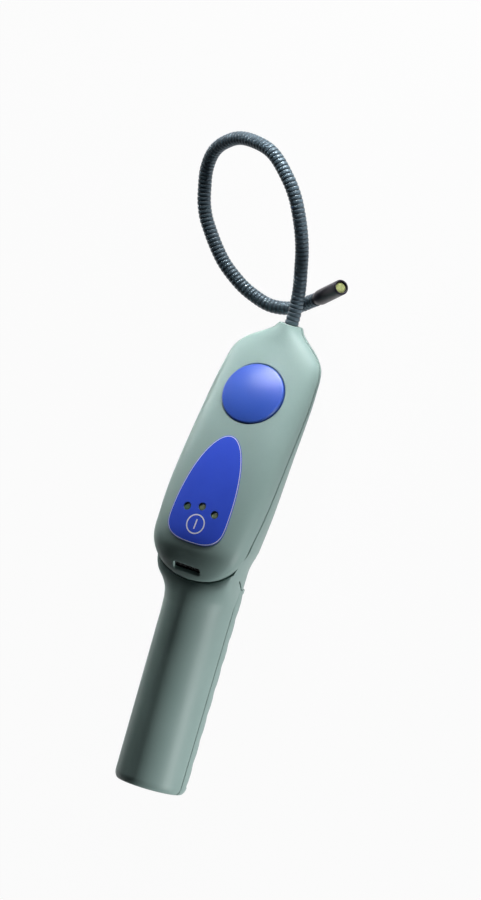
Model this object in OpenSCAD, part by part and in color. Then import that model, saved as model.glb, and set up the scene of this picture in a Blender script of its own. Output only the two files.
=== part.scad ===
// Hand-held refrigerant leak detector, lying on its back with the face up.
// X is across the face, Y runs from the foot of the handle to the probe, Z is up, in mm.

/* [Batteries] */
// diameter of one battery cell
cell_d = 34.2; // [33.6:0.1:34.6]
// length of one battery cell with its button
cell_len = 61.5; // [60:0.5:63]

/* [Handle] */
// width of the handle
handle_w = 41; // [40.6:0.2:43]
// number of finger ripples on the back
ripple_n = 8; // [6:1:9]
// depth of the notch between two ripples
ripple_depth = 1.8; // [1:0.1:2.4]

/* [Head] */
// width of the head
head_w = 62; // [60:0.5:66]
// length of the front cover
head_len = 156; // [152:1:164]
// height of the front cover over the joint line
face_h = 18.2; // [17.4:0.2:20]
// wall thickness of cover and housing
wall = 2.2; // [1.8:0.1:2.6]
// diameter of the thumb button
button_d = 36.8; // [34:0.2:37.6]
// travel of the thumb button
button_travel = 1.2; // [0.8:0.1:1.4]

/* [Label] */
// width of the blue film
label_w = 36.8; // [34:0.2:38]
// length of the blue film
label_len = 64; // [62:0.5:65]
// diameter of a lamp
led_d = 4.4; // [3.6:0.1:4.8]
// distance between lamps
led_gap = 9; // [8:0.2:9.6]

/* [Probe] */
// outer diameter of the gooseneck
neck_d = 8; // [7.4:0.1:8.2]
// distance between two ribs of the gooseneck
rib_pitch = 2.5; // [2.3:0.1:3.2]
// depth of the groove between ribs
rib_depth = 0.55; // [0.3:0.05:0.7]
// outer diameter of the sensor sleeve
sleeve_d = 9; // [8.6:0.1:9.6]
// length of the sensor sleeve
sleeve_len = 30; // [27:0.5:32]

/* [Hidden] */
$fn = 48;
eps = 0.01;
// gap between moulded pieces at a joint line
seam = 0.35;
back_slope = 0.042;
// height of the battery axis and of the joint line between handle and door
zc = cell_d / 2 + 6.9;
bay_r = cell_d / 2 + 0.4;
foot_t = 2.6;
plate_t = 0.8;
spring_len = 8.4;
// lower tip of the front cover, measured from the origin under the middle of the head
y_u = -60;
y_door = y_u + 3.5;
y_n = y_u + head_len;
// battery bay and foot of the handle
y_bay = y_u + 16;
y_cell = y_bay - 2 * cell_len - 0.3 - plate_t - 0.15;
y_f = y_cell - spring_len - plate_t - 0.15 - foot_t;
hs = head_len / 156;
ws = head_w / 62;
fs = face_h / 18.2;
front_0 = zc + cell_d / 2 + 4.9;
function front(y) = front_0 + back_slope * (y - y_f);
zp_u = front(y_u) + 0.8;
nose_z = 1.5 * neck_d + 2.4;
nose_r = neck_d / 2 + 2.8;

// smooth curve through stations [position, value]
function slope(t, i) =
    i == 0 ? (t[1][1] - t[0][1]) / (t[1][0] - t[0][0])
    : i == len(t) - 1 ? (t[i][1] - t[i - 1][1]) / (t[i][0] - t[i - 1][0])
    : (t[i + 1][1] - t[i - 1][1]) / (t[i + 1][0] - t[i - 1][0]);
function hermite(u, a, b, ma, mb) =
    (2 * u * u * u - 3 * u * u + 1) * a + (u * u * u - 2 * u * u + u) * ma
    + (3 * u * u - 2 * u * u * u) * b + (u * u * u - u * u) * mb;
function span(t, v, i = 0) = i >= len(t) - 2 || v < t[i + 1][0] ? i : span(t, v, i + 1);
function curve(t, v) =
    v <= t[0][0] ? t[0][1] : v >= t[len(t) - 1][0] ? t[len(t) - 1][1]
    : let (i = span(t, v), d = t[i + 1][0] - t[i][0])
        hermite((v - t[i][0]) / d, t[i][1], t[i + 1][1], slope(t, i) * d, slope(t, i + 1) * d);
function spow(v, p) = sign(v) * pow(abs(v), p);

// outline, height and fullness of the front cover, by distance from its lower tip
cover_side = [[29.5, 29.5], [50, 30.9], [80, 31], [113, 30.8], [125.5, 29.9], [131.5, 29.2],
              [137.5, 27.2], [143.5, 21.8], [149, 13.8], [152.5, 9]];
cover_rise = [[2.8, 0.9], [4.8, 3.4], [7.5, 6], [12.8, 10.8], [20, 15.2], [31.5, 17.6], [60, 18.2],
              [86, 16.8], [112.5, 13.6], [129.5, 10.7], [144.5, 8], [156, 6.8]];
cover_full = [[0, 2.2], [25, 2.8], [70, 2.9], [112, 2.3], [140, 2.1], [156, 2]];
// start of the cover's rounded lower end
tip_v = 2.8;
function hv(y) = (y - y_u) / hs;
function side(y) =
    let (v = hv(y))
    v <= tip_v ? 0
    : v < 29.5 ? 29.5 * ws * pow(1 - pow((29.5 - v) / (29.5 - tip_v), 2.2), 1 / 2.2)
    : v < 152.5 ? ws * curve(cover_side, v)
    : let (k = (v - 152.5) / 3.5) 9 * ws * (1 - k) + nose_r * k;
function rise(y) =
    let (v = hv(y))
    v < 144.5 ? fs * curve(cover_rise, v)
    : let (k = (v - 144.5) / 11.5) 8 * fs * (1 - k) + nose_r * k;
function joint_z(y) = zp_u + (nose_z - zp_u) * (y - y_u) / head_len;
function full(y) = curve(cover_full, hv(y));
function face(x, y) =
    let (n = full(y), w = side(y), u = min(1, abs(x) / max(w, 0.1)))
    joint_z(y) + seam + rise(y) * pow(1 - pow(u, n), 1 / n);

// closed skin over rows of points with the same count
function ring_faces(m, n) = [
    for (i = [0:m - 2], j = [0:n - 1])
        let (a = i * n + j, b = i * n + (j + 1) % n) each [[a, a + n, b], [b, a + n, b + n]]
];
module loft(rows) {
    m = len(rows);
    n = len(rows[0]);
    polyhedron(
        points = [for (r = rows) each r],
        faces = concat(
            ring_faces(m, n),
            [[for (j = [0:n - 1]) j]],
            [[for (j = [n - 1:-1:0]) (m - 1) * n + j]]
        ),
        convexity = 8
    );
}

// cover

cover_v = concat([for (d = [0.15, 0.5, 1.1, 2, 3.2, 4.8, 6.8, 9.4, 12.6, 16.6, 21, 25.5]) tip_v + d],
                 [for (v = [33:7:117]) v],
                 [123, 128, 132, 135.5, 138.5, 141.5, 144.5, 147.5, 150.5, 153, 156]);
cover_pts = 30;
function cover_row(y, t) =
    let (w = max(side(y) - t, 0.4), h = max(rise(y) - t, 0.3), n = full(y), z = joint_z(y) + seam)
    [for (j = [0:cover_pts])
        let (a = 180 - 180 * j / cover_pts)
        [w * spow(cos(a), 2 / n), y, z + h * pow(abs(sin(a)), 2 / n)]];
module cover_shell() {
    m = len(cover_v);
    n = cover_pts + 1;
    y0 = y_u + cover_v[0] * hs;
    shrink = 1 - wall / (y_n - y0);
    outer = [for (v = cover_v) cover_row(y_u + v * hs, 0)];
    inner = [for (v = cover_v) cover_row(y0 + wall + (v - cover_v[0]) * hs * shrink, wall)];
    k = m * n;
    polyhedron(
        points = concat([for (r = outer) each r], [for (r = inner) each r]),
        faces = concat(
            [for (i = [0:m - 2], j = [0:n - 2])
                let (a = i * n + j) each [[a, a + n, a + 1], [a + 1, a + n, a + n + 1]]],
            [for (i = [0:m - 2], j = [0:n - 2])
                let (a = k + i * n + j) each [[a, a + 1, a + n], [a + 1, a + n + 1, a + n]]],
            [for (i = [0:m - 2])
                let (a = i * n) each [[a, k + a, a + n], [k + a, k + a + n, a + n]]],
            [for (i = [0:m - 2])
                let (a = i * n + n - 1) each [[a, a + n, k + a], [k + a, a + n, k + a + n]]],
            [for (j = [0:n - 2]) each [[j, j + 1, k + j], [j + 1, k + j + 1, k + j]]],
            [for (j = [0:n - 2])
                let (a = (m - 1) * n + j) each [[a, k + a, a + 1], [a + 1, k + a, k + a + 1]]]
        ),
        convexity = 8
    );
}

// plane of the circuit board under the face, which slopes less on a longer head
face_tilt = 22;
tilt = atan(tan(face_tilt) / hs);
y_b = y_u + 108.4 * hs;
y_l = y_u + 41 * hs;
deck = 16;
function board_z(y) = face(0, y_b) - deck - tan(tilt) * (y - y_b);
// distance square to the board from a point on it up to the face
function to_face(x, y, h = 0, tries = 8) =
    tries == 0 ? h : to_face(x, y, (face(x, y + h * sin(tilt)) - board_z(y)) / cos(tilt), tries - 1);
module on_board(x, y) translate([x, y, board_z(y)]) rotate([-tilt, 0, 0]) children();
led_at = [[-led_gap, y_l - 1], [0, y_l + 1.1], [led_gap, y_l - 1]];
button_r = button_d / 2;
button_rim = deck * cos(tilt) + 0.3;
button_rise = 2.6;
switch_floor = 0.7;
plunger_gap = 0.3;

// screws that hold the cover, from the back
screw_at = [[14 * ws, y_u + 22.5 * hs], [-14 * ws, y_u + 22.5 * hs], [17 * ws, y_u + 127 * hs],
            [-17 * ws, y_u + 127 * hs]];
post_at = [[16, y_u + 60 * hs], [-16, y_u + 60 * hs]];

// sound slot in the lower end of the cover
slot_w = 17;
slot_h = 4.6;
y_s = y_u + 8.4 * hs;
module at_slot() translate([0, y_s, face(0, y_s)]) rotate([52, 0, 0]) children();

module front_cover() {
    color([0.62, 0.70, 0.69]) {
        difference() {
            union() {
                cover_shell();
                for (p = screw_at)
                    translate([p[0], p[1], joint_z(p[1]) + seam + 0.2])
                        cylinder(r = 3.2, h = face(p[0], p[1]) - joint_z(p[1]) - seam - 1.6);
                for (p = post_at)
                    on_board(p[0], p[1]) translate([0, 0, 0.05])
                        cylinder(r = 3, h = to_face(p[0], p[1]) - wall / 2);
            }
            on_board(0, y_b) cylinder(r = button_r + 0.35, h = 40);
            for (p = led_at) on_board(p[0], p[1]) cylinder(r = led_d / 2 + 0.15, h = 40);
            at_slot() cube([slot_w, slot_h, 14], center = true);
            for (p = screw_at)
                translate([p[0], p[1], joint_z(p[1]) - 1])
                    cylinder(r = 1.3, h = 7.6);
            for (p = post_at) on_board(p[0], p[1]) translate([0, 0, -1]) cylinder(r = 1.1, h = 6);
            along_y(0, y_n - 16 * hs, nose_z) cylinder(r = nose_r - 1.9, h = 30);
        }
    }
}

// grille bar inside the sound slot
module sound_grille() {
    color([0.34, 0.38, 0.40]) at_slot() translate([0, 0, -2.6]) {
        difference() {
            cube([slot_w - 0.2, slot_h - 0.2, 1.8], center = true);
            for (i = [-2:2]) translate([i * 3.1, 0.7, 0]) cube([2, 1, 4], center = true);
            for (i = [-2:2]) translate([i * 3.1, -0.9, 0]) cube([2, 1, 4], center = true);
        }
    }
}

// housing: handle front and head back

house_wide = [[-16, 0], [-8, 0.2], [-2.5, 1.1], [3.5, 2.9], [9.5, 4.2]];
function house_half(y) =
    let (v = hv(y))
    v <= 9.5 ? handle_w / 2 + ws * curve(house_wide, v)
    : v < 31.5 ? let (k = (v - 9.5) / 22, e = k * k * (3 - 2 * k), a = handle_w / 2 + 4.2 * ws)
        a * (1 - e) * (1 + 0.1 * k) + side(y) * e * (1 - 0.002 * (1 - k))
    : side(y);
function house_top(y) = hv(y) < -1 ? front(y) : min(front(y), joint_z(y));
house_eq = [[-20, 1], [-8, 0.9], [-2.5, 0.72], [3.5, 0.44], [9.5, 0.25], [16.5, 0.15], [31.5, 0.1],
            [156, 0.06]];
function house_mid(y) = zc + (house_top(y) - zc) * (1 - curve(house_eq, hv(y)));
house_nt = [[-12, 2], [-2.5, 2.5], [3.5, 4], [9.5, 6.5], [16.5, 8], [156, 8]];
house_nb = [[-16, 2], [9.5, 1.8], [31.5, 1.7], [140, 1.7], [156, 2]];
house_low = [[-16, 0], [10, -2.5], [100, -2.5], [122, -0.5], [138, 1.6], [150, 5], [156, 7.6]];
function house_bot(y) =
    let (v = hv(y)) v > 150 ? nose_z - nose_r + (156 - v) * -0.4 : curve(house_low, v);
// the handle draws in over the last stretch before its foot
foot_round = 5;
function foot(y) =
    let (d = y - y_f) d >= foot_round ? 1 : 1 - 0.09 * pow((foot_round - d) / foot_round, 2.4);
house_pts = 44;
function house_loop(y, low) =
    let (w = house_half(y) * foot(y), zm = house_mid(y), nt = curve(house_nt, hv(y)),
        nb = curve(house_nb, hv(y)), up = (house_top(y) - zm) * foot(y), dn = (zm - low) * foot(y))
    [for (j = [0:house_pts - 1])
        let (a = -360 * j / house_pts, s = sin(a), n = s > 0 ? nt : nb)
        [w * spow(cos(a), 2 / n), y,
            max(zm + (s > 0 ? up * pow(s, 2 / n) : -dn * pow(-s, 2 / n)), 0)]];
foot_k = [0, 0.06, 0.16, 0.32, 0.56];
grip_k = [0, 0.25, 0.5, 0.75];
grip_len = y_u - 16 * hs - y_f - foot_round;
house_v = concat([-16, -12, -9], [for (v = [-6.5:2:9.5]) v], [12, 14.5, 17.5], [for (v = [21:4:33]) v],
                 [for (v = [40:7:117]) v],
                 [122, 127, 131, 134.5, 137.5, 140.5, 143.5, 146.5, 149.5, 152, 154, 156]);
house_y = concat([for (k = foot_k) y_f + k * foot_round], [for (k = grip_k) y_f + foot_round + k * grip_len],
                 [for (v = house_v) y_u + v * hs]);

// hollow of the head behind the board
tub_v = [20.5, 26, 32, 40, 50, 60, 70, 80, 90, 100, 110, 118, 124, 129, 133, 137, 141, 144];
tub_pts = 20;
function tub_loop(y) =
    let (w = house_half(y) - wall, zm = house_mid(y), lo = max(house_bot(y), 0) + wall,
        nb = curve(house_nb, hv(y)))
    concat(
        [[-w, y, joint_z(y) + 3], [w, y, joint_z(y) + 3]],
        [for (j = [0:tub_pts])
            let (a = -180 * j / tub_pts)
            [w * spow(cos(a), 2 / nb), y, zm - (zm - lo) * pow(abs(sin(a)), 2 / nb)]]
    );
function back(x, y) =
    let (zm = house_mid(y), nb = curve(house_nb, hv(y)), u = abs(x) / house_half(y))
    zm - (zm - house_bot(y)) * pow(1 - pow(u, nb), 1 / nb);

module along_y(x, y, z) translate([x, y, z]) rotate([-90, 0, 0]) children();

module housing() {
    color([0.60, 0.68, 0.67]) {
        difference() {
            union() {
                difference() {
                    loft([for (y = house_y) house_loop(y, house_bot(y))]);
                    loft([for (v = tub_v) tub_loop(y_u + v * hs)]);
                }
                for (p = screw_at)
                    translate([p[0], p[1], back(abs(p[0]) + 3.4, p[1]) + 1])
                        cylinder(r = 3.4, h = joint_z(p[1]) - back(abs(p[0]) + 3.4, p[1]) - 1.2);
            }
            along_y(0, y_f + foot_t, zc) cylinder(r = bay_r, h = y_bay - y_f - foot_t);
            translate([-60, y_f - 5, zc - 60 + 0.15]) cube([120, y_door - y_f + 5, 60]);
            along_y(0, y_n - 16 * hs, nose_z) cylinder(r = nose_r - 1.9, h = 30);
            for (p = screw_at) {
                translate([p[0], p[1], -5]) cylinder(r = 1.5, h = 80);
                translate([p[0], p[1], -5]) cylinder(r = 3, h = back(p[0], p[1]) + 8);
            }
        }
    }
}

// door: back half of the handle

ripple_y0 = y_f + foot_round;
ripple_pitch = (y_door - 3 - ripple_y0) / ripple_n;
function ripple(y) =
    y < ripple_y0 || y > y_door - 3 ? 0
    : ripple_depth * pow(abs(cos(180 * (y - ripple_y0) / ripple_pitch)), 4);
door_y = concat([for (k = foot_k) y_f + k * foot_round],
                [for (i = [0:8 * ripple_n]) ripple_y0 + i * ripple_pitch / 8], [y_door - seam]);
door_pts = 20;
module battery_door() {
    color([0.58, 0.66, 0.65]) {
        difference() {
            loft([for (y = door_y)
                let (w = handle_w / 2 * foot(y), d = (zc - ripple(y)) * foot(y))
                [for (j = [0:door_pts])
                    let (a = -180 * j / door_pts)
                    [w * cos(a), y, zc - 0.15 + d * sin(a) * (zc - 0.15) / zc]]]);
            along_y(0, y_f + foot_t, zc) cylinder(r = bay_r, h = y_bay - y_f);
        }
    }
}

// batteries and contacts

module cell(y) {
    along_y(0, y, zc) {
        cylinder(d = cell_d, h = cell_len - 1.6);
        cylinder(d = cell_d * 0.28, h = cell_len);
    }
}
module battery_lower() color([0.22, 0.24, 0.27]) cell(y_cell);
module battery_upper() color([0.22, 0.24, 0.27]) cell(y_cell + cell_len + 0.1);
module contact_plate() {
    color([0.80, 0.80, 0.78]) along_y(0, y_f + foot_t + 0.1, zc + 3) {
        difference() {
            cylinder(r = cell_d / 2 - 5, h = plate_t);
            translate([0, 0, -1]) cylinder(r = 3, h = 5);
        }
    }
}
module contact_cap() {
    color([0.80, 0.80, 0.78]) along_y(0, y_bay - 0.1 - plate_t, zc)
        cylinder(r = cell_d / 2 - 4, h = plate_t);
}
// conical spring between the plate and the lower cell
spring_turns = 3;
spring_wire = 0.55;
module contact_spring() {
    n = 16 * spring_turns;
    y0 = y_f + foot_t + 0.1 + plate_t + spring_wire + 0.05;
    y1 = y_cell - spring_wire - 0.05;
    color([0.78, 0.78, 0.76])
        loft([for (i = [0:n])
            let (a = 360 * spring_turns * i / n, r = 9.5 - 3.5 * i / n, y = y0 + (y1 - y0) * i / n)
            [for (k = [0:5])
                let (b = 60 * k)
                [(r + spring_wire * cos(b)) * cos(a), y + spring_wire * sin(b),
                    zc + (r + spring_wire * cos(b)) * sin(a)]]]);
}

// face parts

module thumb_button() {
    sphere_r = (button_r * button_r + button_rise * button_rise) / (2 * button_rise);
    color([0.20, 0.33, 0.75]) on_board(0, y_b) {
        difference() {
            union() {
                intersection() {
                    translate([0, 0, 5]) cylinder(r = button_r, h = 30);
                    translate([0, 0, button_rim + button_rise - sphere_r]) sphere(r = sphere_r, $fn = 96);
                }
                translate([0, 0, 4.9]) cylinder(r = button_r + 0.9, h = 0.9);
            }
            difference() {
                translate([0, 0, 4]) cylinder(r = button_r - 1.8, h = button_rim - 5);
                cylinder(r = 2.4, h = 40);
            }
            translate([0, 0, 0]) cylinder(r = 3, h = 5.3);
        }
    }
}
plunger_z = switch_floor + button_travel + plunger_gap;
module button_plunger() {
    color([0.85, 0.85, 0.82]) on_board(0, y_b) translate([0, 0, plunger_z])
        cylinder(r = 1.7, h = 5.2 - plunger_z);
}
module tact(x, y, h) {
    on_board(x, y) translate([-3, -3, 0.05]) cube([6, 6, h]);
}
module button_switch() {
    color([0.15, 0.15, 0.16]) difference() {
        tact(0, y_b, 3.2);
        on_board(0, y_b) translate([0, 0, switch_floor]) cylinder(r = 1.76, h = 5);
    }
}

// blue film on the face
label_half = label_w / 2;
label_y0 = y_u + 24 * hs;
label_y1 = label_y0 + label_len;
label_ym = label_y0 + 0.22 * label_len;
function label_side(y) =
    y < label_ym ? label_half * pow(max(0, 1 - pow((label_ym - y) / (label_ym - label_y0), 2.8)), 1 / 2.8)
    : label_half * sqrt(max(0, 1 - pow((y - label_ym) / (label_y1 - label_ym), 2)));
label_cols = 12;
label_k = [for (i = [0:26]) label_y0 + label_len * (1 - cos(180 * (0.02 + 0.96 * i / 26))) / 2];
module label() {
    rows = [for (y = label_k)
        let (w = max(label_side(y), 0.5))
        concat(
            [for (j = [0:label_cols]) let (x = w * (2 * j / label_cols - 1)) [x, y, face(x, y) + 0.42]],
            [for (j = [label_cols:-1:0]) let (x = w * (2 * j / label_cols - 1)) [x, y, face(x, y) + 0.07]]
        )];
    color([0.20, 0.30, 0.72]) difference() {
        loft(rows);
        for (p = led_at) on_board(p[0], p[1]) cylinder(r = led_d / 2 + 0.15, h = 40);
    }
}
led_sink = 0.6;
module led(i, c) {
    p = led_at[i];
    h = to_face(p[0], p[1]) - led_sink;
    color(c) on_board(p[0], p[1]) translate([0, 0, 0.05]) {
        cylinder(r = led_d / 2, h = h - led_d / 2);
        translate([0, 0, h - led_d / 2]) sphere(r = led_d / 2);
    }
}
module led_left() led(0, [0.22, 0.40, 0.22]);
module led_mid() led(1, [0.34, 0.38, 0.16]);
module led_right() led(2, [0.34, 0.38, 0.16]);

// board

board_w = 38;
board_y0 = y_u + 27 * hs;
board_y1 = y_u + 121 * hs;
module circuit_board() {
    l = (board_y1 - board_y0) / cos(tilt);
    color([0.12, 0.36, 0.22]) difference() {
        on_board(0, board_y0) translate([-board_w / 2, 0, -1.6]) cube([board_w, l, 1.6]);
        for (p = post_at) on_board(p[0], p[1]) translate([0, 0, -5]) cylinder(r = 1.4, h = 10);
    }
}
module board_chip() {
    color([0.10, 0.10, 0.11]) {
        on_board(0, y_l + 24 * hs) translate([-6, -6, 0.05]) cube([12, 12, 2.2]);
        on_board(10, y_l + 22 * hs) translate([-2, -4, 0.05]) cube([4, 8, 2.8]);
        on_board(-11, y_l + 10 * hs) translate([0, 0, 0.05]) cylinder(r = 2.6, h = 4.5);
    }
}
y_key = y_l - 6;
module power_switch() {
    h = to_face(0, y_key) - wall - 1;
    color([0.15, 0.15, 0.16]) {
        tact(0, y_key, 3.4);
        on_board(0, y_key) translate([0, 0, 3.2]) cylinder(r = 1.7, h = h - 3.2);
    }
}
module sounder() {
    color([0.13, 0.13, 0.14]) on_board(0, y_u + 62 * hs) translate([0, 0, -10.7]) {
        difference() {
            cylinder(r = 11.5, h = 9);
            translate([0, 0, -1]) cylinder(r = 1.6, h = 4);
        }
    }
}
module board_screws() {
    color([0.72, 0.72, 0.74])
        for (p = post_at)
            on_board(p[0], p[1]) {
                translate([0, 0, -3.3]) cylinder(r = 2.4, h = 1.6);
                translate([0, 0, -3]) cylinder(r = 1, h = 7);
            }
}
module cover_screws() {
    color([0.72, 0.72, 0.74])
        for (p = screw_at) {
            z = back(p[0], p[1]) + 3.2;
            translate([p[0], p[1], z - 2.2]) difference() {
                cylinder(r = 2.7, h = 1.9);
                translate([0, 0, -1]) cube([0.8, 2.6, 3.4], center = true);
                translate([0, 0, -1]) cube([2.6, 0.8, 3.4], center = true);
            }
            translate([p[0], p[1], z - 0.4]) cylinder(r = 1.2, h = joint_z(p[1]) - z + 6);
        }
}

// gooseneck: centre line from the nose, bent into one loop

neck_r = neck_d / 2;
low_z = neck_r + 0.5;
bend = [[0, 0, nose_z], [0, 6, nose_z + 0.1], [-0.2, 14.5, nose_z + 0.9], [-0.4, 22, 17], [-1, 32, 20.5],
        [-1.6, 43, 25], [-3.4, 53, 29], [-6.3, 62.5, 32.5], [-10.5, 71.6, 35], [-16.8, 80, 36.5],
        [-29.8, 90.6, 35.5], [-40.8, 94, 33], [-57.8, 93.6, 27], [-70, 87.5, 21.5], [-77, 80, 17],
        [-80, 69.5, 13], [-79.2, 59, 10.5], [-77, 49, 8.8], [-72.5, 39.8, 7.4],
        [-58.2, 22.7, low_z + 1.1], [-44, 13, low_z + 0.5],
        [-33.4, 8.6, low_z + 0.2], [-21, 6, low_z + 0.1], [-8.4, 8, low_z + 0.1], [-0.4, 12.6, low_z + 0.7],
        [3.4, 15.2, low_z + 1.9], [9, 18.5, low_z + 4.9], [32.4, 32.5, 30.6]];
// running length along a list of points
function run(p) = [
    for (i = 0, s = 0; i < len(p); s = s + norm(p[min(i + 1, len(p) - 1)] - p[i]), i = i + 1) s
];
pace = run(bend);
track = [for (k = [0:2]) [for (i = [0:len(bend) - 1]) [pace[i], bend[i][k]]]];
step = 0.8;
trail = [for (t = [0:step:pace[len(bend) - 1]])
    [curve(track[0], t), y_n + curve(track[1], t), curve(track[2], t)]];
reach = run(trail);
function seek(s, lo, hi) =
    hi - lo <= 1 ? lo : let (m = floor((lo + hi) / 2)) reach[m] <= s ? seek(s, m, hi) : seek(s, lo, m);
function at(s) =
    let (i = seek(max(0, min(s, reach[len(reach) - 1] - eps)), 0, len(reach) - 1))
    trail[i] + (trail[i + 1] - trail[i]) * (s - reach[i]) / (reach[i + 1] - reach[i]);
function unit(v) = v / norm(v);
function dir(s) = unit(at(s + 0.6) - at(s - 0.6));
// joints of the gooseneck, by length along it: at the nose, half way and at the tip
s_root = 9;
s_mid = reach[round(pace[16] / step)];
s_tip = reach[round(pace[26] / step)];
gap_a = 3;
gap_b = 1.5;
ball_r = neck_r - 0.95;
stem_r = ball_r * 0.42;
mouth_r = ball_r * 0.5;
sides = 12;
function disc(s, r) =
    let (p = at(s), d = dir(s), e = unit(cross(d, [0, 0, 1])), f = cross(e, d))
    [for (k = [0:sides - 1]) let (a = -360 * k / sides) p + r * (e * cos(a) + f * sin(a))];
module tube(s0, s1) {
    n = floor((s1 - s0) / (rib_pitch / 2));
    loft([for (i = [0:n]) let (s = s0 + (s1 - s0) * i / n) disc(s, neck_r - (i % 2 == 0 ? rib_depth : 0))]);
}
// puts children at a length along the gooseneck with Z along it
module at_neck(s) {
    p = at(s);
    d = dir(s);
    translate(p) rotate([0, acos(d[2]), atan2(d[1], d[0])]) children();
}
module ball(s) {
    at_neck(s) {
        sphere(r = ball_r);
        translate([0, 0, -gap_a - 0.6]) cylinder(r = stem_r, h = gap_a + 0.6);
    }
}
module socket(s) {
    at_neck(s) {
        sphere(r = ball_r + 0.12);
        translate([0, 0, -gap_b - 3]) cylinder(r1 = neck_r, r2 = mouth_r, h = gap_b + 3);
    }
}
module neck_clamp() {
    color([0.70, 0.70, 0.66]) along_y(0, y_n - 15 * hs, nose_z) {
        difference() {
            union() {
                cylinder(r = nose_r - 2, h = 15 * hs - 0.4);
                cylinder(r = nose_r - 1, h = 2.6);
            }
            translate([0, 0, -1]) cylinder(r = neck_r - 0.9, h = 30);
        }
    }
}
module neck_root() {
    color([0.16, 0.19, 0.23]) {
        along_y(0, y_n - 15 * hs, nose_z) cylinder(r = neck_r - 1, h = 15 * hs + 0.2);
        along_y(0, y_n + 0.1, nose_z) {
            cylinder(r = neck_r, h = 1.4);
            cylinder(r = neck_r - rib_depth, h = 2.9);
            translate([0, 0, 2.7]) cylinder(r = neck_r, h = 1.4);
            cylinder(r = neck_r - rib_depth, h = s_root - gap_a - 0.1);
        }
        ball(s_root);
    }
}
module neck_lower() {
    color([0.16, 0.19, 0.23]) {
        difference() {
            tube(s_root - gap_b, s_mid - gap_a);
            socket(s_root);
        }
        ball(s_mid);
    }
}
module neck_upper() {
    color([0.16, 0.19, 0.23]) {
        difference() {
            tube(s_mid - gap_b, s_tip - gap_a);
            socket(s_mid);
        }
        ball(s_tip);
    }
}

// sensing tip

sleeve_r = sleeve_d / 2;
module sensor_sleeve() {
    color([0.10, 0.09, 0.13]) at_neck(s_tip) {
        difference() {
            translate([0, 0, -gap_b]) {
                cylinder(r1 = neck_r - 0.8, r2 = sleeve_r, h = 5);
                translate([0, 0, 5]) cylinder(r = sleeve_r, h = sleeve_len - 5);
            }
            sphere(r = ball_r + 0.12);
            translate([0, 0, -gap_b - 3]) cylinder(r1 = neck_r, r2 = mouth_r, h = gap_b + 3);
            translate([0, 0, 8]) cylinder(r = sleeve_r - 1, h = sleeve_len);
        }
    }
}
module sensor_socket() {
    color([0.80, 0.76, 0.66]) at_neck(s_tip) translate([0, 0, 8.05]) difference() {
        cylinder(r = sleeve_r - 1.05, h = 5);
        for (i = [-1, 1]) translate([i * 1.2, 0, 2]) cylinder(r = 0.45, h = 5);
    }
}
module sensor_element() {
    color([0.72, 0.70, 0.66]) at_neck(s_tip) {
        translate([0, 0, 13.1]) cylinder(r = sleeve_r - 1.3, h = 7);
        for (i = [-1, 1]) translate([i * 1.2, 0, 10.2]) cylinder(r = 0.4, h = 4);
    }
}
module filter_disc() {
    color([0.66, 0.70, 0.42]) at_neck(s_tip)
        translate([0, 0, sleeve_len - gap_b - 3.2]) cylinder(r = sleeve_r - 1.05, h = 2.4);
}

housing();
front_cover();
battery_door();
thumb_button();
button_plunger();
button_switch();
label();
led_left();
led_mid();
led_right();
circuit_board();
board_chip();
power_switch();
sounder();
sound_grille();
board_screws();
cover_screws();
battery_lower();
battery_upper();
contact_plate();
contact_cap();
contact_spring();
neck_clamp();
neck_root();
neck_lower();
neck_upper();
sensor_sleeve();
sensor_socket();
sensor_element();
filter_disc();
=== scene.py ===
# %% [markdown]
# # A hand-held refrigerant leak detector
# The tool lies on its back on a pale table: a broad head with a domed thumb button and a blue film panel,
# a battery handle with a rippled door behind it, and a ribbed gooseneck bent into one loop with a black
# sensing tip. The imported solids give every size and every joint. This lesson dresses them with finer
# shells, rounded edges and finishes, piece by piece, in the same frame.

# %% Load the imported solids
import bpy
import bmesh
import numpy as np
from mathutils import Matrix, Vector
from mathutils.geometry import delaunay_2d_cdt


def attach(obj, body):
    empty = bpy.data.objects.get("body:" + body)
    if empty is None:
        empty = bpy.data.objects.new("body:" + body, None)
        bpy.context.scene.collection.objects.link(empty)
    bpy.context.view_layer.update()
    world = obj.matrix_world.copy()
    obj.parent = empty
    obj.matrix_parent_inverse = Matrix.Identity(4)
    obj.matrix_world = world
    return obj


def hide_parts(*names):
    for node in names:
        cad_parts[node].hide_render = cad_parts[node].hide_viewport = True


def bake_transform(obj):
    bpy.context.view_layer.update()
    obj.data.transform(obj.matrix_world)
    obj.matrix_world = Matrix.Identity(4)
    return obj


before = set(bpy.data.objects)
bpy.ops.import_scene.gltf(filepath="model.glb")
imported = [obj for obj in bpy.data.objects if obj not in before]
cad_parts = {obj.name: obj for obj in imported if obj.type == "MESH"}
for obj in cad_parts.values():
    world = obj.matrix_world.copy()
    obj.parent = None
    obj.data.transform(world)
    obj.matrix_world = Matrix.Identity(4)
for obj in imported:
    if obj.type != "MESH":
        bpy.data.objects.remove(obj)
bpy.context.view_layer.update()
MM = 0.001

# %% [markdown]
# ## The sizes
# A moulded tool like this is drawn from a few long curves: how wide the head is, how high it stands, where
# its two shells meet. They could be measured from the loaded meshes, but the formulas behind the solids give
# smooth rows at any spacing, so the same stations are written here, in millimetres.

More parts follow.
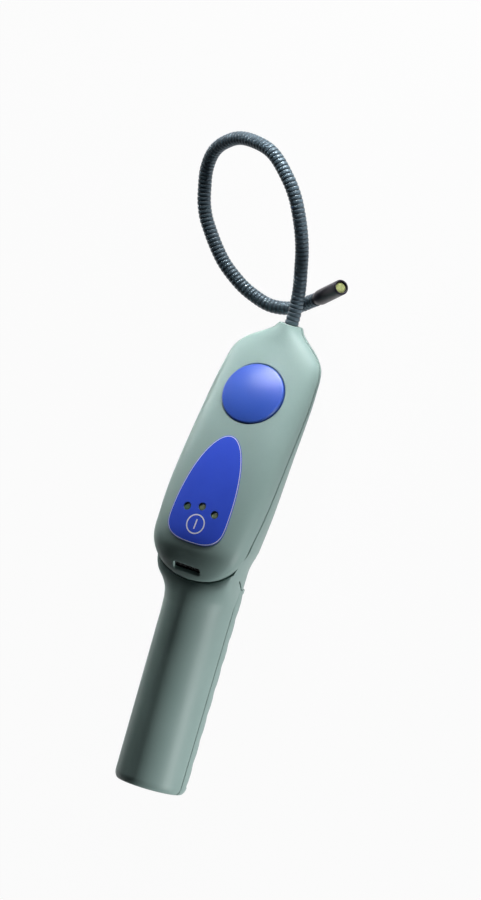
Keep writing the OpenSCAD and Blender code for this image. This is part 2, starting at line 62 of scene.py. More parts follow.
# %% Main stations, in millimetres
HEAD_LEN, SEAM, WALL, SLOPE = 156.0, 0.35, 2.2, 0.042
TIP_Y, COVER_V0 = -60.0, 2.8
NOSE_Y, DOOR_Y, BAY_Y, FOOT_Y = TIP_Y + HEAD_LEN, TIP_Y + 3.5, TIP_Y + 16.0, -180.2
CELL_Z, BAY_R, HANDLE_R, FOOT_T = 24.0, 17.5, 20.5, 2.6
NOSE_Z, NOSE_R, BORE_R = 14.4, 6.8, 4.9
NOSE_V, NOSE_HALF = 152.5, 9.0
CREST_V, CREST_RISE = 144.5, 8.0
RIDGE_Z, COVER_LAP = 46.0, 0.8
ROUND_V, ROUND_N = 29.5, 2.2
SIDE_STATIONS = [(ROUND_V, 29.5), (50, 30.9), (80, 31), (113, 30.8), (125.5, 29.9), (131.5, 29.2),
                 (137.5, 27.2), (143.5, 21.8), (149, 13.8), (NOSE_V, NOSE_HALF)]
RISE_STATIONS = [(COVER_V0, 0.9), (4.8, 3.4), (7.5, 6), (12.8, 10.8), (20, 15.2), (31.5, 17.6), (60, 18.2),
                 (86, 16.8), (112.5, 13.6), (129.5, 10.7), (CREST_V, CREST_RISE), (HEAD_LEN, NOSE_R)]
FULL_STATIONS = [(0, 2.2), (25, 2.8), (70, 2.9), (112, 2.3), (140, 2.1), (HEAD_LEN, 2)]


def curve(stations, v):
    """Smooth curve through stations of position and value."""
    x, y = np.array(stations, float).T
    slope = np.concatenate([[(y[1] - y[0]) / (x[1] - x[0])], (y[2:] - y[:-2]) / (x[2:] - x[:-2]),
                            [(y[-1] - y[-2]) / (x[-1] - x[-2])]])
    v = np.clip(v, x[0], x[-1])
    i = np.clip(np.searchsorted(x, v, side="right") - 1, 0, len(x) - 2)
    d = x[i + 1] - x[i]
    u = (v - x[i]) / d
    return ((2 * u**3 - 3 * u**2 + 1) * y[i] + (u**3 - 2 * u**2 + u) * slope[i] * d
            + (3 * u**2 - 2 * u**3) * y[i + 1] + (u**3 - u**2) * slope[i + 1] * d)


print("smooth curve at 40 mm:", curve(SIDE_STATIONS, 40.0))

# %% Outline, height and joint line of the head
def front_z(y):
    """Front ridge of the handle."""
    return RIDGE_Z + SLOPE * (y - FOOT_Y)


JOINT_TIP_Z = front_z(TIP_Y) + COVER_LAP
LEAST_SIDE, LEAST_RISE = 0.4, 0.3


def joint_z(y):
    """Line on which the cover and the housing meet."""
    return JOINT_TIP_Z + (NOSE_Z - JOINT_TIP_Z) * (y - TIP_Y) / HEAD_LEN


def head_side(y):
    """Half the head's width."""
    v = np.asarray(y, float) - TIP_Y
    back_off = np.clip((ROUND_V - v) / (ROUND_V - COVER_V0), 0, 1)
    round_end = ROUND_V * (1 - back_off**ROUND_N) ** (1 / ROUND_N)
    k = np.clip((v - NOSE_V) / (HEAD_LEN - NOSE_V), 0, 1)
    nose = NOSE_HALF * (1 - k) + NOSE_R * k
    along = np.where(v < NOSE_V, curve(SIDE_STATIONS, v), nose)
    return np.where(v <= COVER_V0, 0, np.where(v < ROUND_V, round_end, along))


def head_rise(y):
    """Height of the cover's crown over the joint line."""
    v = np.asarray(y, float) - TIP_Y
    k = np.clip((v - CREST_V) / (HEAD_LEN - CREST_V), 0, 1)
    return np.where(v < CREST_V, curve(RISE_STATIONS, v), CREST_RISE * (1 - k) + NOSE_R * k)


def face_z(x, y, inset=0.0):
    """Height of the cover's face, or of its inner skin, over a point of the plan."""
    n = curve(FULL_STATIONS, np.asarray(y) - TIP_Y)
    w, h = np.maximum(head_side(y) - inset, LEAST_SIDE), np.maximum(head_rise(y) - inset, LEAST_RISE)
    return joint_z(y) + SEAM + h * (1 - np.minimum(1, np.abs(x) / w) ** n) ** (1 / n)


def lip(distance, radius):
    """How far a rounded edge draws in at a distance from that edge."""
    left = radius - np.clip(distance, 0, radius)
    return radius - np.sqrt(radius**2 - left**2)


print("face height over the lamps:", round(float(face_z(0, -19.0)), 2))

# %% [markdown]
# ## From points to pieces
# Every piece ends as a closed mesh whose faces look outwards, smooth where its faces meet gently and sharp
# where they meet at an edge. Blender can do that with modifiers; here one helper builds the mesh, turns its
# normals outwards and marks the sharp edges, so that all pieces get the same treatment.

# %% Mesh helpers
SHARP, WELD = 38, 1e-4


def piece(name, points, faces, sharp=SHARP, indices=None):
    """Object from points in millimetres and faces; indices are the faces' material numbers."""
    mesh = bpy.data.meshes.new(name)
    mesh.from_pydata((np.asarray(points) * MM).tolist(), [], [list(map(int, f)) for f in faces])
    if indices is not None:
        mesh.polygons.foreach_set("material_index", np.asarray(indices, np.int32))
    obj = bpy.data.objects.new(name, mesh)
    bpy.context.scene.collection.objects.link(obj)
    finish_edges(obj, sharp)
    return obj


def finish_edges(obj, sharp=SHARP):
    """Drops loose points and empty faces, turns the normals outwards and marks edges past an angle."""
    limit = float(np.radians(sharp))
    bm = bmesh.new()
    bm.from_mesh(obj.data)
    bmesh.ops.delete(bm, geom=[v for v in bm.verts if not v.link_faces], context="VERTS")
    bmesh.ops.dissolve_degenerate(bm, dist=WELD * MM, edges=bm.edges)
    bmesh.ops.recalc_face_normals(bm, faces=bm.faces)
    for face in bm.faces:
        face.smooth = True
    for edge in bm.edges:
        edge.smooth = len(edge.link_faces) == 2 and edge.calc_face_angle(0) < limit
    bm.to_mesh(obj.data)
    bm.free()


def ring_band(a, b):
    """Faces between two closed rings of point numbers."""
    return [(a[j], a[(j + 1) % len(a)], b[(j + 1) % len(a)], b[j]) for j in range(len(a))]


def loft(rows):
    """Points and faces of a closed skin over rows with the same number of points."""
    m, n = len(rows), len(rows[0])
    ids = np.arange(m * n).reshape(m, n)
    faces = [f for i in range(m - 1) for f in ring_band(ids[i], ids[i + 1])]
    return np.concatenate(rows), faces + [tuple(ids[0]), tuple(ids[-1][::-1])]


def carve(obj, tool, operation="DIFFERENCE"):
    """Cuts a tool out of a piece, or joins it on, and deletes the tool."""
    cut = obj.modifiers.new("carve", "BOOLEAN")
    cut.operation, cut.solver, cut.object = operation, "MANIFOLD", tool
    made = bpy.data.meshes.new_from_object(obj.evaluated_get(bpy.context.evaluated_depsgraph_get()))
    made.materials.clear()
    made.polygons.foreach_set("material_index", np.zeros(len(made.polygons), np.int32))
    obj.modifiers.clear()
    obj.data = made
    bpy.data.objects.remove(tool)


print("mesh helpers ready")

# %% [markdown]
# ## Writing finishes as sums
# A finish is a small network of nodes. Linking them by hand is long to read, so one class wraps a socket and
# turns Python's sums and products into Math nodes, and one method adds every other node. What varies over a
# surface goes only into colour, roughness and the bump that feeds the normal, because those can be baked.

# %% Shader maths
class Wire:
    """One output of a node."""

    def __init__(self, finish, socket):
        self.finish, self.socket = finish, socket

    def math(self, operation, a, b):
        return self.finish.node("ShaderNodeMath", {"operation": operation}, {0: a, 1: b})

    def __add__(self, other):
        return self.math("ADD", self, other)

    def __sub__(self, other):
        return self.math("SUBTRACT", self, other)

    def __rsub__(self, other):
        return self.math("SUBTRACT", other, self)

    def __mul__(self, other):
        return self.math("MULTIPLY", self, other)

    __radd__, __rmul__ = __add__, __mul__


class Finish:
    """A material around one Principled shader."""

    def __init__(self, name, **sockets):
        self.material = bpy.data.materials.new(name)
        self.material.use_nodes = True
        self.tree = self.material.node_tree
        self.shader = self.tree.nodes["Principled BSDF"]
        self.surface(**sockets)

    def feed(self, socket, value):
        if isinstance(value, Wire):
            self.tree.links.new(value.socket, socket)
        else:
            socket.default_value = value

    def node(self, kind, settings=None, sockets=None, output=0):
        node = self.tree.nodes.new(kind)
        for name, value in (settings or {}).items():
            setattr(node, name, value)
        for key, value in (sockets or {}).items():
            self.feed(node.inputs[key], value)
        return Wire(self, node.outputs[output])

    def surface(self, **sockets):
        for name, value in sockets.items():
            self.feed(self.shader.inputs[name.replace("_", " ")], value)

    def noise(self, scale, detail=2.0):
        place = self.node("ShaderNodeTexCoord", output="Object")
        return self.node("ShaderNodeTexNoise", None, {"Vector": place, "Scale": scale, "Detail": detail})

    def mix(self, factor, a, b):
        return self.node("ShaderNodeMix", {"data_type": "RGBA"}, {0: factor, 6: a, 7: b}, output=2)

    def bump(self, height, distance, strength=1.0):
        return self.node("ShaderNodeBump", None,
                         {"Strength": strength, "Distance": distance, "Height": height}, output="Normal")


def srgb(*levels):
    """Linear colour from display levels of 0 to 255."""
    c = np.array(levels) / 255
    return (*np.where(c <= 0.04045, c / 12.92, ((c + 0.055) / 1.055) ** 2.4), 1.0)


print("mid grey is", srgb(128, 128, 128)[0])

# %% [markdown]
# ## Finishes
# The two shells and the door are moulded in a grey-green plastic with a fine matt grain. The film is smooth
# and satin, the button is glossier, the gooseneck is a dark coated metal with painted shade darkening its
# grooves, the tip is a near-black sleeve and the disc in its end is felt. Each gets its own grain at its own
# scale.

# %% Moulded plastics
def moulded(name, light, dark, roughness, grain=2600.0, depth=0.00004, gloss=0.4):
    """Matt plastic with a fine grain, faint clouding and uneven gloss."""
    finish = Finish(name, Specular_IOR_Level=gloss)
    cloud = finish.noise(34.0, 4.0)
    fine = finish.noise(grain, 2.0)
    speck = (fine - 0.5) * 0.35 + cloud
    finish.surface(Base_Color=finish.mix(speck, dark, light),
                   Roughness=(cloud - 0.5) * 0.16 + roughness,
                   Normal=finish.bump(fine, depth, 0.6))
    return finish.material


shell_plastic = moulded("grey_green_plastic", srgb(163, 189, 184), srgb(149, 176, 171), 0.46)
button_plastic = moulded("blue_button_plastic", srgb(62, 104, 216), srgb(54, 92, 202), 0.33,
                         grain=3000.0, depth=0.00002, gloss=1.0)
black_plastic = moulded("black_plastic", srgb(40, 40, 42), srgb(28, 28, 30), 0.45)
dark_plastic = moulded("dark_grey_plastic", srgb(38, 42, 44), srgb(28, 32, 34), 0.55)
white_plastic = moulded("ivory_plastic", srgb(222, 216, 200), srgb(206, 200, 184), 0.5)
sleeve_plastic = moulded("sleeve_plastic", srgb(46, 41, 54), srgb(34, 30, 42), 0.36)
print("plastics made")

# %% Film, ink and lamp lenses
def printed(name, light, dark, roughness):
    """Printed film: nearly even colour under a smooth skin with slight ripples."""
    finish = Finish(name, Specular_IOR_Level=0.3)
    cloud = finish.noise(60.0, 3.0)
    ripple = finish.noise(160.0, 1.0)
    finish.surface(Base_Color=finish.mix(cloud, dark, light),
                   Roughness=cloud * 0.12 + roughness, Normal=finish.bump(ripple, 0.0001, 0.25))
    return finish.material


def lens(name, clear, deep):
    """Tinted lamp lens with a faint swirl in it."""
    finish = Finish(name, Specular_IOR_Level=0.5, Coat_Weight=0.4)
    swirl = finish.noise(420.0, 2.0)
    finish.surface(Base_Color=finish.mix(swirl, deep, clear), Roughness=swirl * 0.15 + 0.16)
    return finish.material


film_blue = printed("film_blue", srgb(60, 96, 240), srgb(55, 88, 229), 0.48)
ink_pale = printed("film_pale_ink", srgb(250, 251, 253), srgb(240, 243, 249), 0.4)
lens_green = lens("lamp_green_lens", srgb(112, 146, 112), srgb(84, 118, 90))
lens_olive = lens("lamp_olive_lens", srgb(140, 152, 112), srgb(112, 126, 92))
print("film, ink and lenses made")

# %% Gooseneck, felt, metals and board
def ribbed_metal():
    """Dark coated metal: satin on the ribs; in the grooves it is duller and painted shade darkens its colour.
    """
    finish = Finish("gooseneck_coat_and_groove_shade", Specular_IOR_Level=0.55, Metallic=0.25)
    groove = finish.node("ShaderNodeAttribute", {"attribute_name": "groove"}, output="Fac")
    wear = finish.noise(300.0, 3.0)
    rib = finish.mix(wear, srgb(84, 102, 114), srgb(102, 122, 134))
    # Painted shade: the colour fades to near black where the groove mark is high.
    finish.surface(Base_Color=finish.mix(groove, rib, srgb(18, 22, 27)),
                   Roughness=wear * 0.14 + groove * 0.3 + 0.28,
                   Normal=finish.bump(wear, 0.00006, 0.4))
    return finish.material


def felt():
    """Pressed felt: tangled fibres over soft clouds."""
    finish = Finish("filter_felt", Specular_IOR_Level=0.15, Sheen_Weight=0.3)
    fibre, cloud = finish.noise(2400.0, 4.0), finish.noise(420.0, 2.0)
    tangle = (fibre - 0.5) * 0.8 + cloud
    finish.surface(Base_Color=finish.mix(tangle, srgb(142, 150, 92), srgb(196, 204, 138)),
                   Roughness=fibre * 0.1 + 0.86, Normal=finish.bump(fibre, 0.0003, 0.8))
    return finish.material


def metal(name, light, dark, roughness):
    """Bare or plated metal with fine streaks."""
    finish = Finish(name, Metallic=1.0)
    streak = finish.noise(700.0, 4.0)
    finish.surface(Base_Color=finish.mix(streak, dark, light), Roughness=streak * 0.2 + roughness,
                   Normal=finish.bump(streak, 0.00003, 0.4))
    return finish.material


gooseneck_coat_and_groove_shade, filter_felt = ribbed_metal(), felt()
plated_steel = metal("zinc_steel", srgb(196, 196, 200), srgb(160, 160, 166), 0.28)
contact_nickel = metal("contact_nickel", srgb(212, 210, 200), srgb(180, 178, 168), 0.22)
clamp_alloy = metal("clamp_alloy", srgb(196, 196, 190), srgb(166, 166, 160), 0.34)
board_mask = printed("board_mask", srgb(44, 104, 66), srgb(30, 84, 50), 0.32)
cell_jacket = printed("cell_jacket", srgb(72, 78, 88), srgb(52, 58, 68), 0.3)
print("gooseneck, felt, metals and board made")

# %% [markdown]
# ## The front cover
# The cover is one moulded shell: an arched skin with a round hole for the thumb button, three lamp holes and
# a sound slot at its lower end. Cutting holes with a Boolean leaves hard rims, and a real moulding has small
# rounded ones. So the skin is a fine grid into which rings round each hole are let by a constrained
# triangulation; rounded rims and straight hole walls then grow from those rings to an inner skin.

# %% Cover grid
RIM_STEPS = np.array([0, 0.1, 0.22, 0.38, 0.6, 1.0, 1.6])
RIM_FULL, HALF_COLUMNS, RIM_ROUND, NUDGE = 14.0, 22, 0.35, 0.05
TIP_V = COVER_V0 + 0.02
TIP_SQUASH = [0.0, 0.15, 0.35, 0.65]
SKIRT, SKIRT_BAND, SKIRT_V = 1.0, 2.0, (8.0, 24.0)
DENSE_V, ROW_STEP = 33.0, 1.5
cover_v = np.concatenate([np.maximum(COVER_V0 + (DENSE_V - COVER_V0) * np.linspace(0, 1, 25) ** 2, TIP_V),
                          np.arange(DENSE_V + ROW_STEP, HEAD_LEN - 1, ROW_STEP), [HEAD_LEN]])
HALF_ARCH = np.linspace(0, np.pi / 2, 161)


def arch(y, inset):
    """Half an arch of the cover from crown to rim: x, height over the rim and running length."""
    w, h = max(float(head_side(y)) - inset, LEAST_SIDE), max(float(head_rise(y)) - inset, LEAST_RISE)
    n = float(curve(FULL_STATIONS, y - TIP_Y))
    r = (np.cos(HALF_ARCH) ** n + np.sin(HALF_ARCH) ** n) ** (-1 / n)
    x, z = (w * r * np.cos(HALF_ARCH))[::-1], (h * r * np.sin(HALF_ARCH))[::-1]
    return x, z, np.concatenate([[0], np.cumsum(np.hypot(np.diff(x), np.diff(z)))])


def arch_row(y, inset, squash):
    """One row of the skin, as shares of the half arch and as points."""
    x, z, run = arch(y, inset)
    near = RIM_STEPS * min(1, run[-1] / RIM_FULL)
    from_rim = np.concatenate([near, np.linspace(near[-1], run[-1], HALF_COLUMNS + 1)[1:]])
    half = 1 - from_rim / run[-1]
    shares = np.concatenate([-half, half[-2::-1]])
    along = np.abs(shares) * run[-1]
    px, pz = np.sign(shares) * np.interp(along, run, x), squash * np.interp(along, run, z)
    fade = np.clip((SKIRT_V[1] - (y - TIP_Y)) / (SKIRT_V[1] - SKIRT_V[0]), 0, 1)
    drop = SKIRT * fade * np.clip(1 - pz / SKIRT_BAND, 0, 1)
    row = np.stack([px, np.full_like(px, y), joint_z(y) + SEAM + pz - drop], 1)
    if inset == 0:
        slope = (head_side(y + NUDGE) - head_side(y - NUDGE)) / (2 * NUDGE)
        out = np.array([1, -slope]) / np.hypot(1, slope)
        draw = lip(pz, RIM_ROUND)
        row[:, 0] -= px / x[-1] * draw * out[0]
        row[:, 1] -= draw * out[1]
    return shares, row


def cover_grid(inset):
    """Rows of one skin: their places, shares and points."""
    shrink = 1 - inset / (HEAD_LEN - TIP_V)
    stations = [(TIP_V, k) for k in TIP_SQUASH] + [(v, 1.0) for v in cover_v]
    y = np.array([TIP_Y + TIP_V + inset + (v - TIP_V) * shrink for v, _ in stations])
    rows = [arch_row(station, inset, squash) for station, (_, squash) in zip(y, stations)]
    return y, np.array([r[0] for r in rows]), np.array([r[1] for r in rows])


print("cover grid:", cover_grid(0)[2].shape)

# %% Places of the button, the lamps and the slot on the face
TILT, DECK = np.radians(22), 16.0
BUTTON_Y, LAMP_Y = TIP_Y + 108.4, TIP_Y + 41
BUTTON_R, BUTTON_GAP, LAMP_R, LAMP_GAP = 18.4, 0.35, 2.2, 0.15
LAMPS = [(-9.0, LAMP_Y - 1), (0.0, LAMP_Y + 1.1), (9.0, LAMP_Y - 1)]
SLOT_Y, SLOT_TILT, SLOT_HALF, SLOT_CORNER = TIP_Y + 8.4, np.radians(52), (8.4, 2.2), 1.3
ACROSS = np.array([1.0, 0, 0])


def on_board(x, y):
    """Frame square to the circuit board: origin, across, along, out."""
    z = float(face_z(0, BUTTON_Y)) - DECK - np.tan(TILT) * (y - BUTTON_Y)
    along, out = np.array([0, np.cos(TILT), -np.sin(TILT)]), np.array([0, np.sin(TILT), np.cos(TILT)])
    return np.array([x, y, z]), ACROSS, along, out


def at_slot():
    """Frame square to the sound slot."""
    along = np.array([0, np.cos(SLOT_TILT), np.sin(SLOT_TILT)])
    out = np.array([0, -np.sin(SLOT_TILT), np.cos(SLOT_TILT)])
    return np.array([0, SLOT_Y, float(face_z(0, SLOT_Y))]), ACROSS, along, out


def in_frame(place, flat, height):
    """Points from flat coordinates and heights over a place."""
    origin, across, along, out = place
    return origin + flat[:, :1] * across + flat[:, 1:] * along + np.reshape(height, (-1, 1)) * out


def height_at_face(place, flat, inset=0.0, low=-14.0, high=60.0):
    """Heights over a place at which its flat points meet the cover's skin."""
    lo, hi = np.full(len(flat), low), np.full(len(flat), high)
    for _ in range(48):
        mid = (lo + hi) / 2
        p = in_frame(place, flat, mid)
        below = p[:, 2] < face_z(p[:, 0], p[:, 1], inset)
        lo, hi = np.where(below, mid, lo), np.where(below, hi, mid)
    return lo


def round_loop(radius, count):
    """Circle that can grow or shrink."""
    a = np.linspace(0, 2 * np.pi, count, endpoint=False)
    return lambda grow: (radius + grow) * np.stack([np.cos(a), np.sin(a)], 1)


def slot_loop(half, corner, count):
    """Rounded oblong that can grow or shrink."""
    a = np.linspace(0, 2 * np.pi, count, endpoint=False) + np.pi / count
    centre = np.sign(np.stack([np.cos(a), np.sin(a)], 1)) * (np.array(half) - corner)
    return lambda grow: centre + (corner + grow) * np.stack([np.cos(a), np.sin(a)], 1)


print("button frame origin", on_board(0, BUTTON_Y)[0].round(2))

# %% Holes let into the two skins
lamp_loop = round_loop(LAMP_R + LAMP_GAP, 28)
HOLES = [dict(place=on_board(0, BUTTON_Y), loop=round_loop(BUTTON_R + BUTTON_GAP, 128), rounding=0.7,
              collars=(0.8, 2.0))]
HOLES += [dict(place=on_board(*p), loop=lamp_loop, rounding=0.15, collars=(0.5,)) for p in LAMPS]
HOLES += [dict(place=at_slot(), loop=slot_loop(SLOT_HALF, SLOT_CORNER, 64), rounding=0.8, collars=(0.5,))]
ROUND_STEPS = np.radians([18, 36, 54, 72, 90])
CLEAR = 0.35


def inside(polygon, points):
    """Which points lie in a closed polygon."""
    x, y = points[:, :1], points[:, 1:]
    a, b = polygon, np.roll(polygon, -1, 0)
    crosses = (a[:, 1] > y) != (b[:, 1] > y)
    at = a[:, 0] + (y - a[:, 1]) * (b[:, 0] - a[:, 0]) / np.where(b[:, 1] == a[:, 1], 1e-9, b[:, 1] - a[:, 1])
    return (crosses & (x < at)).sum(1) % 2 == 1


def grid_place(points, inset, y, shares):
    """Column and row numbers of points on the skin."""
    start = len(TIP_SQUASH)
    found = []
    for px, py, _ in points:
        x, _, run = arch(py, inset)
        share = np.sign(px) * np.interp(abs(px), x, run) / run[-1]
        row = start + np.interp(py, y[start:], np.arange(len(y) - start))
        i = min(int(row), len(y) - 2)
        line = shares[i] * (1 - row + i) + shares[i + 1] * (row - i)
        found.append((np.interp(share, line, np.arange(len(line))), row))
    return np.array(found)


def cover_skin(inset):
    """Triangles of one skin with its holes, its points, its rings and its outer border."""
    y, shares, grid = cover_grid(inset)
    m, n = shares.shape
    flat = grid.reshape(-1, 3)
    keep = np.ones(m * n, bool)
    rings, cells = [], []
    for hole in HOLES:
        origin, across, along, _ = hole["place"]
        start = hole["rounding"] if inset == 0 else 0.0
        grows = [start] + [start + c for c in hole["collars"]]
        local = np.stack([(flat - origin) @ across, (flat - origin) @ along], 1)
        keep &= ~inside(hole["loop"](grows[-1] + CLEAR), local)
        for grow in grows:
            loop = hole["loop"](grow)
            ring = in_frame(hole["place"], loop, height_at_face(hole["place"], loop, inset))
            rings.append(ring)
            cells.append(grid_place(ring, inset, y, shares))
    ids = np.where(keep, np.cumsum(keep) - 1, -1).reshape(m, n)
    column, row = np.meshgrid(np.arange(n), np.arange(m))
    kept = np.stack([column.ravel(), row.ravel()], 1)[keep]
    starts = len(kept) + np.cumsum([0] + [len(c) for c in cells])
    loops = [np.arange(a, b) for a, b in zip(starts, starts[1:])]
    edges = [(int(p), int(q)) for loop in loops for p, q in zip(loop, np.roll(loop, -1))]
    plan = np.concatenate([kept] + cells)
    _, _, tris, source, _, _ = delaunay_2d_cdt([Vector(p) for p in plan.tolist()], edges, [], 0, 1e-7)
    tris = np.array([[source[v][0] for v in t] for t in tris])
    middle = plan[tris].mean(1)
    firsts, at = [], 0
    for hole in HOLES:
        firsts.append(at)
        tris, middle = (a[~inside(cells[at], middle)] for a in (tris, middle))
        at += 1 + len(hole["collars"])
    border = np.concatenate([ids[0], ids[1:, -1], ids[-1, -2::-1], ids[-2:0:-1, 0]])
    return np.concatenate([flat[keep]] + rings), tris, [loops[k] for k in firsts], border


print("slot loop meets the face at", height_at_face(at_slot(), HOLES[-1]["loop"](0))[:3].round(2))

# %% Cover shell
def cover_shell():
    """The two skins, the border between them and a rounded wall in each hole."""
    outer, faces, outer_loops, outer_border = cover_skin(0.0)
    inner, inner_faces, inner_loops, inner_border = cover_skin(WALL)
    shift, points = len(outer), [outer, inner]
    faces = faces.tolist() + (inner_faces[:, ::-1] + shift).tolist()
    faces += ring_band(outer_border, inner_border + shift)
    total = shift + len(inner)
    for hole, top, bottom in zip(HOLES, outer_loops, inner_loops):
        before = top
        for step in ROUND_STEPS:
            loop = hole["loop"](hole["rounding"] * (1 - np.sin(step)))
            drop = hole["rounding"] * (1 - np.cos(step))
            points.append(in_frame(hole["place"], loop, height_at_face(hole["place"], loop) - drop))
            ring = np.arange(total, total + len(loop))
            faces += ring_band(before, ring)
            before, total = ring, total + len(loop)
        faces += ring_band(before, bottom + shift)
    return piece("cover_shell", np.concatenate(points), faces)


cover = cover_shell()
cover.data.materials.append(shell_plastic)
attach(cover, "body")
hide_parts("front_cover")
print("cover faces:", len(cover.data.polygons))

# %% [markdown]
# ## The housing
# The housing is the other half of the head and the front half of the handle, in one moulding. Its outside is
# a loft whose rows change from a round handle to a broad tray. The hollow, the battery bay, the screw holes,
# the channel round the cover's lower end and the slit in each flank are cut out afterwards, as a toolmaker
# would core them out. Booleans suit this, because most of the edges that show were rounded in the loft.

# %% Outside of the housing
SHOULDER_V, SHOULDER_RUN, SHOULDER_OUT = 9.5, 22.0, 4.2
SHOULDER_SWELL, HEAD_TUCK = 0.1, 0.002
FULL_V = SHOULDER_V + SHOULDER_RUN
WIDE_STATIONS = [(-16, 0), (-8, 0.2), (-2.5, 1.1), (3.5, 2.9), (SHOULDER_V, SHOULDER_OUT)]
MIDDLE_STATIONS = [(-20, 1), (-8, 0.9), (-2.5, 0.72), (3.5, 0.44), (SHOULDER_V, 0.25), (16.5, 0.15),
                   (FULL_V, 0.1), (HEAD_LEN, 0.06)]
UPPER_STATIONS = [(-12, 2), (-2.5, 2.5), (3.5, 4), (SHOULDER_V, 6.5), (16.5, 9), (FULL_V, 20), (HEAD_LEN, 20)]
LOWER_STATIONS = [(-16, 2), (SHOULDER_V, 1.8), (FULL_V, 1.7), (140, 1.7), (HEAD_LEN, 2)]
UNDER_V, UNDER_SLOPE = 150.0, 0.4
BACK_STATIONS = [(-16, 0), (10, -2.5), (100, -2.5), (122, -0.5), (138, 1.6), (UNDER_V, 5),
                 (HEAD_LEN, NOSE_Z - NOSE_R)]
FOOT_ROUND, FOOT_DRAW, FOOT_POWER = 5.0, 0.09, 2.4
EDGE_ROUND, END_ROUND, SPLIT_Z = 0.6, 0.25, CELL_Z + 0.75
PART_GAP, PART_GAP_V, PART_GAP_RUN = 0.6, 20.0, 11.0
LEAST_LEDGE, LEAST_HALF = 0.2, 0.05


def house_half(y):
    """Half the housing's width."""
    v = y - TIP_Y
    if v <= SHOULDER_V:
        return HANDLE_R + float(curve(WIDE_STATIONS, v))
    k = min((v - SHOULDER_V) / SHOULDER_RUN, 1)
    e = k * k * (3 - 2 * k)
    handle = (HANDLE_R + SHOULDER_OUT) * (1 + SHOULDER_SWELL * k)
    head = float(head_side(y)) * (1 - HEAD_TUCK * (1 - k))
    return handle * (1 - e) + head * e


def house_heights(y):
    """Top, widest and lowest heights of one row."""
    v = y - TIP_Y
    top = front_z(y) if v < -1 else min(front_z(y), joint_z(y))
    low = NOSE_Z - NOSE_R - UNDER_SLOPE * (HEAD_LEN - v) if v > UNDER_V else float(curve(BACK_STATIONS, v))
    return top, CELL_Z + (top - CELL_Z) * (1 - float(curve(MIDDLE_STATIONS, v))), low


def foot_draw(y):
    """Share of its full size that the handle keeps near its foot."""
    return 1 - FOOT_DRAW * max(0, (FOOT_ROUND - (y - FOOT_Y)) / FOOT_ROUND) ** FOOT_POWER


def house_row(y, count=160):
    """One closed row of the outside, with rounded edges where the door meets it."""
    v = y - TIP_Y
    top, middle, low = house_heights(y)
    gap = PART_GAP * np.clip((v - PART_GAP_V) / PART_GAP_RUN, 0, 1)
    top = top - gap
    middle = min(middle - gap, top - LEAST_LEDGE)
    a = np.linspace(0, 2 * np.pi, count, endpoint=False)
    up = np.sin(a) > 0
    n = np.where(up, curve(UPPER_STATIONS, v), curve(LOWER_STATIONS, v))
    r = (np.abs(np.cos(a)) ** n + np.abs(np.sin(a)) ** n) ** (-1 / n)
    edge = lip(y - FOOT_Y, EDGE_ROUND) + lip(NOSE_Y - y, EDGE_ROUND)
    w = house_half(y) * foot_draw(y) - edge
    x = w * r * np.cos(a)
    over, under = (max(h * foot_draw(y) - edge, LEAST_HALF) for h in (top - middle, middle - low))
    z = middle + r * np.sin(a) * np.where(up, over, under)
    if y < DOOR_Y:
        x -= np.sign(x) * lip(np.abs(z - SPLIT_Z), END_ROUND)
    else:
        draw = lip(y - DOOR_Y, END_ROUND) * (z < SPLIT_Z)
        far = np.hypot(x, z - CELL_Z)
        x, z = x * (1 - draw / far), CELL_Z + (z - CELL_Z) * (1 - draw / far)
    return np.stack([x, np.full(count, y), np.maximum(z, 0)], 1)


EDGE_STEPS = np.array([0, 0.06, 0.16, 0.3, 0.45, 0.6])
house_y = np.concatenate([
    FOOT_Y + EDGE_STEPS, np.arange(FOOT_Y + 1, FOOT_Y + FOOT_ROUND, 0.5),
    np.arange(FOOT_Y + FOOT_ROUND, TIP_Y - 17, 4), np.arange(TIP_Y - 16, DOOR_Y - 0.1, 0.75), [DOOR_Y - 0.01],
    DOOR_Y + 0.01 + EDGE_STEPS, np.arange(DOOR_Y + 1, TIP_Y + 34, 0.8), np.arange(TIP_Y + 34, TIP_Y + 120, 3),
    np.arange(TIP_Y + 120, NOSE_Y - 0.9, 1), NOSE_Y - EDGE_STEPS[::-1]])
house = piece("housing_shell", *loft([house_row(y) for y in house_y]))
print("housing rows:", len(house_y))

# %% Hollow, channel and slits
TUB_V, TUB_OVER = (20.5, 144.0), 3.0


def tub_row(y, count=40):
    """Hollow of the head behind the circuit board."""
    _, middle, low = house_heights(y)
    w, lo = house_half(y) - WALL, max(low, 0) + WALL
    n = float(curve(LOWER_STATIONS, y - TIP_Y))
    a = -np.pi * np.arange(count + 1) / count
    x = w * np.sign(np.cos(a)) * np.abs(np.cos(a)) ** (2 / n)
    z = middle - (middle - lo) * np.abs(np.sin(a)) ** (2 / n)
    top = [(-w, y, joint_z(y) + TUB_OVER), (w, y, joint_z(y) + TUB_OVER)]
    return np.concatenate([top, np.stack([x, np.full_like(x, y), z], 1)])


MOAT, MOAT_V1, MOAT_OVER = 0.9, 33.0, 6.0
MOAT_DEPTHS = [(0, 2.6), (10, 2.5), (20, 1.9), (27, 1.5), (MOAT_V1, PART_GAP)]
moat_v = COVER_V0 - MOAT + 0.01 + (MOAT_V1 - COVER_V0 + MOAT) * np.linspace(0, 1, 49) ** 2


def moat_row(y):
    """Channel that is sunk round the lower end of the cover and leaves a dark gap there."""
    v = y - TIP_Y
    back_off = max(ROUND_V - v, 0) / (ROUND_V - COVER_V0 + MOAT)
    w = (ROUND_V + MOAT) * (1 - back_off**ROUND_N) ** (1 / ROUND_N)
    low, high = joint_z(y) - float(curve(MOAT_DEPTHS, v)), joint_z(y) + MOAT_OVER
    return np.array([(-w, y, low), (w, y, low), (w, y, high), (-w, y, high)])


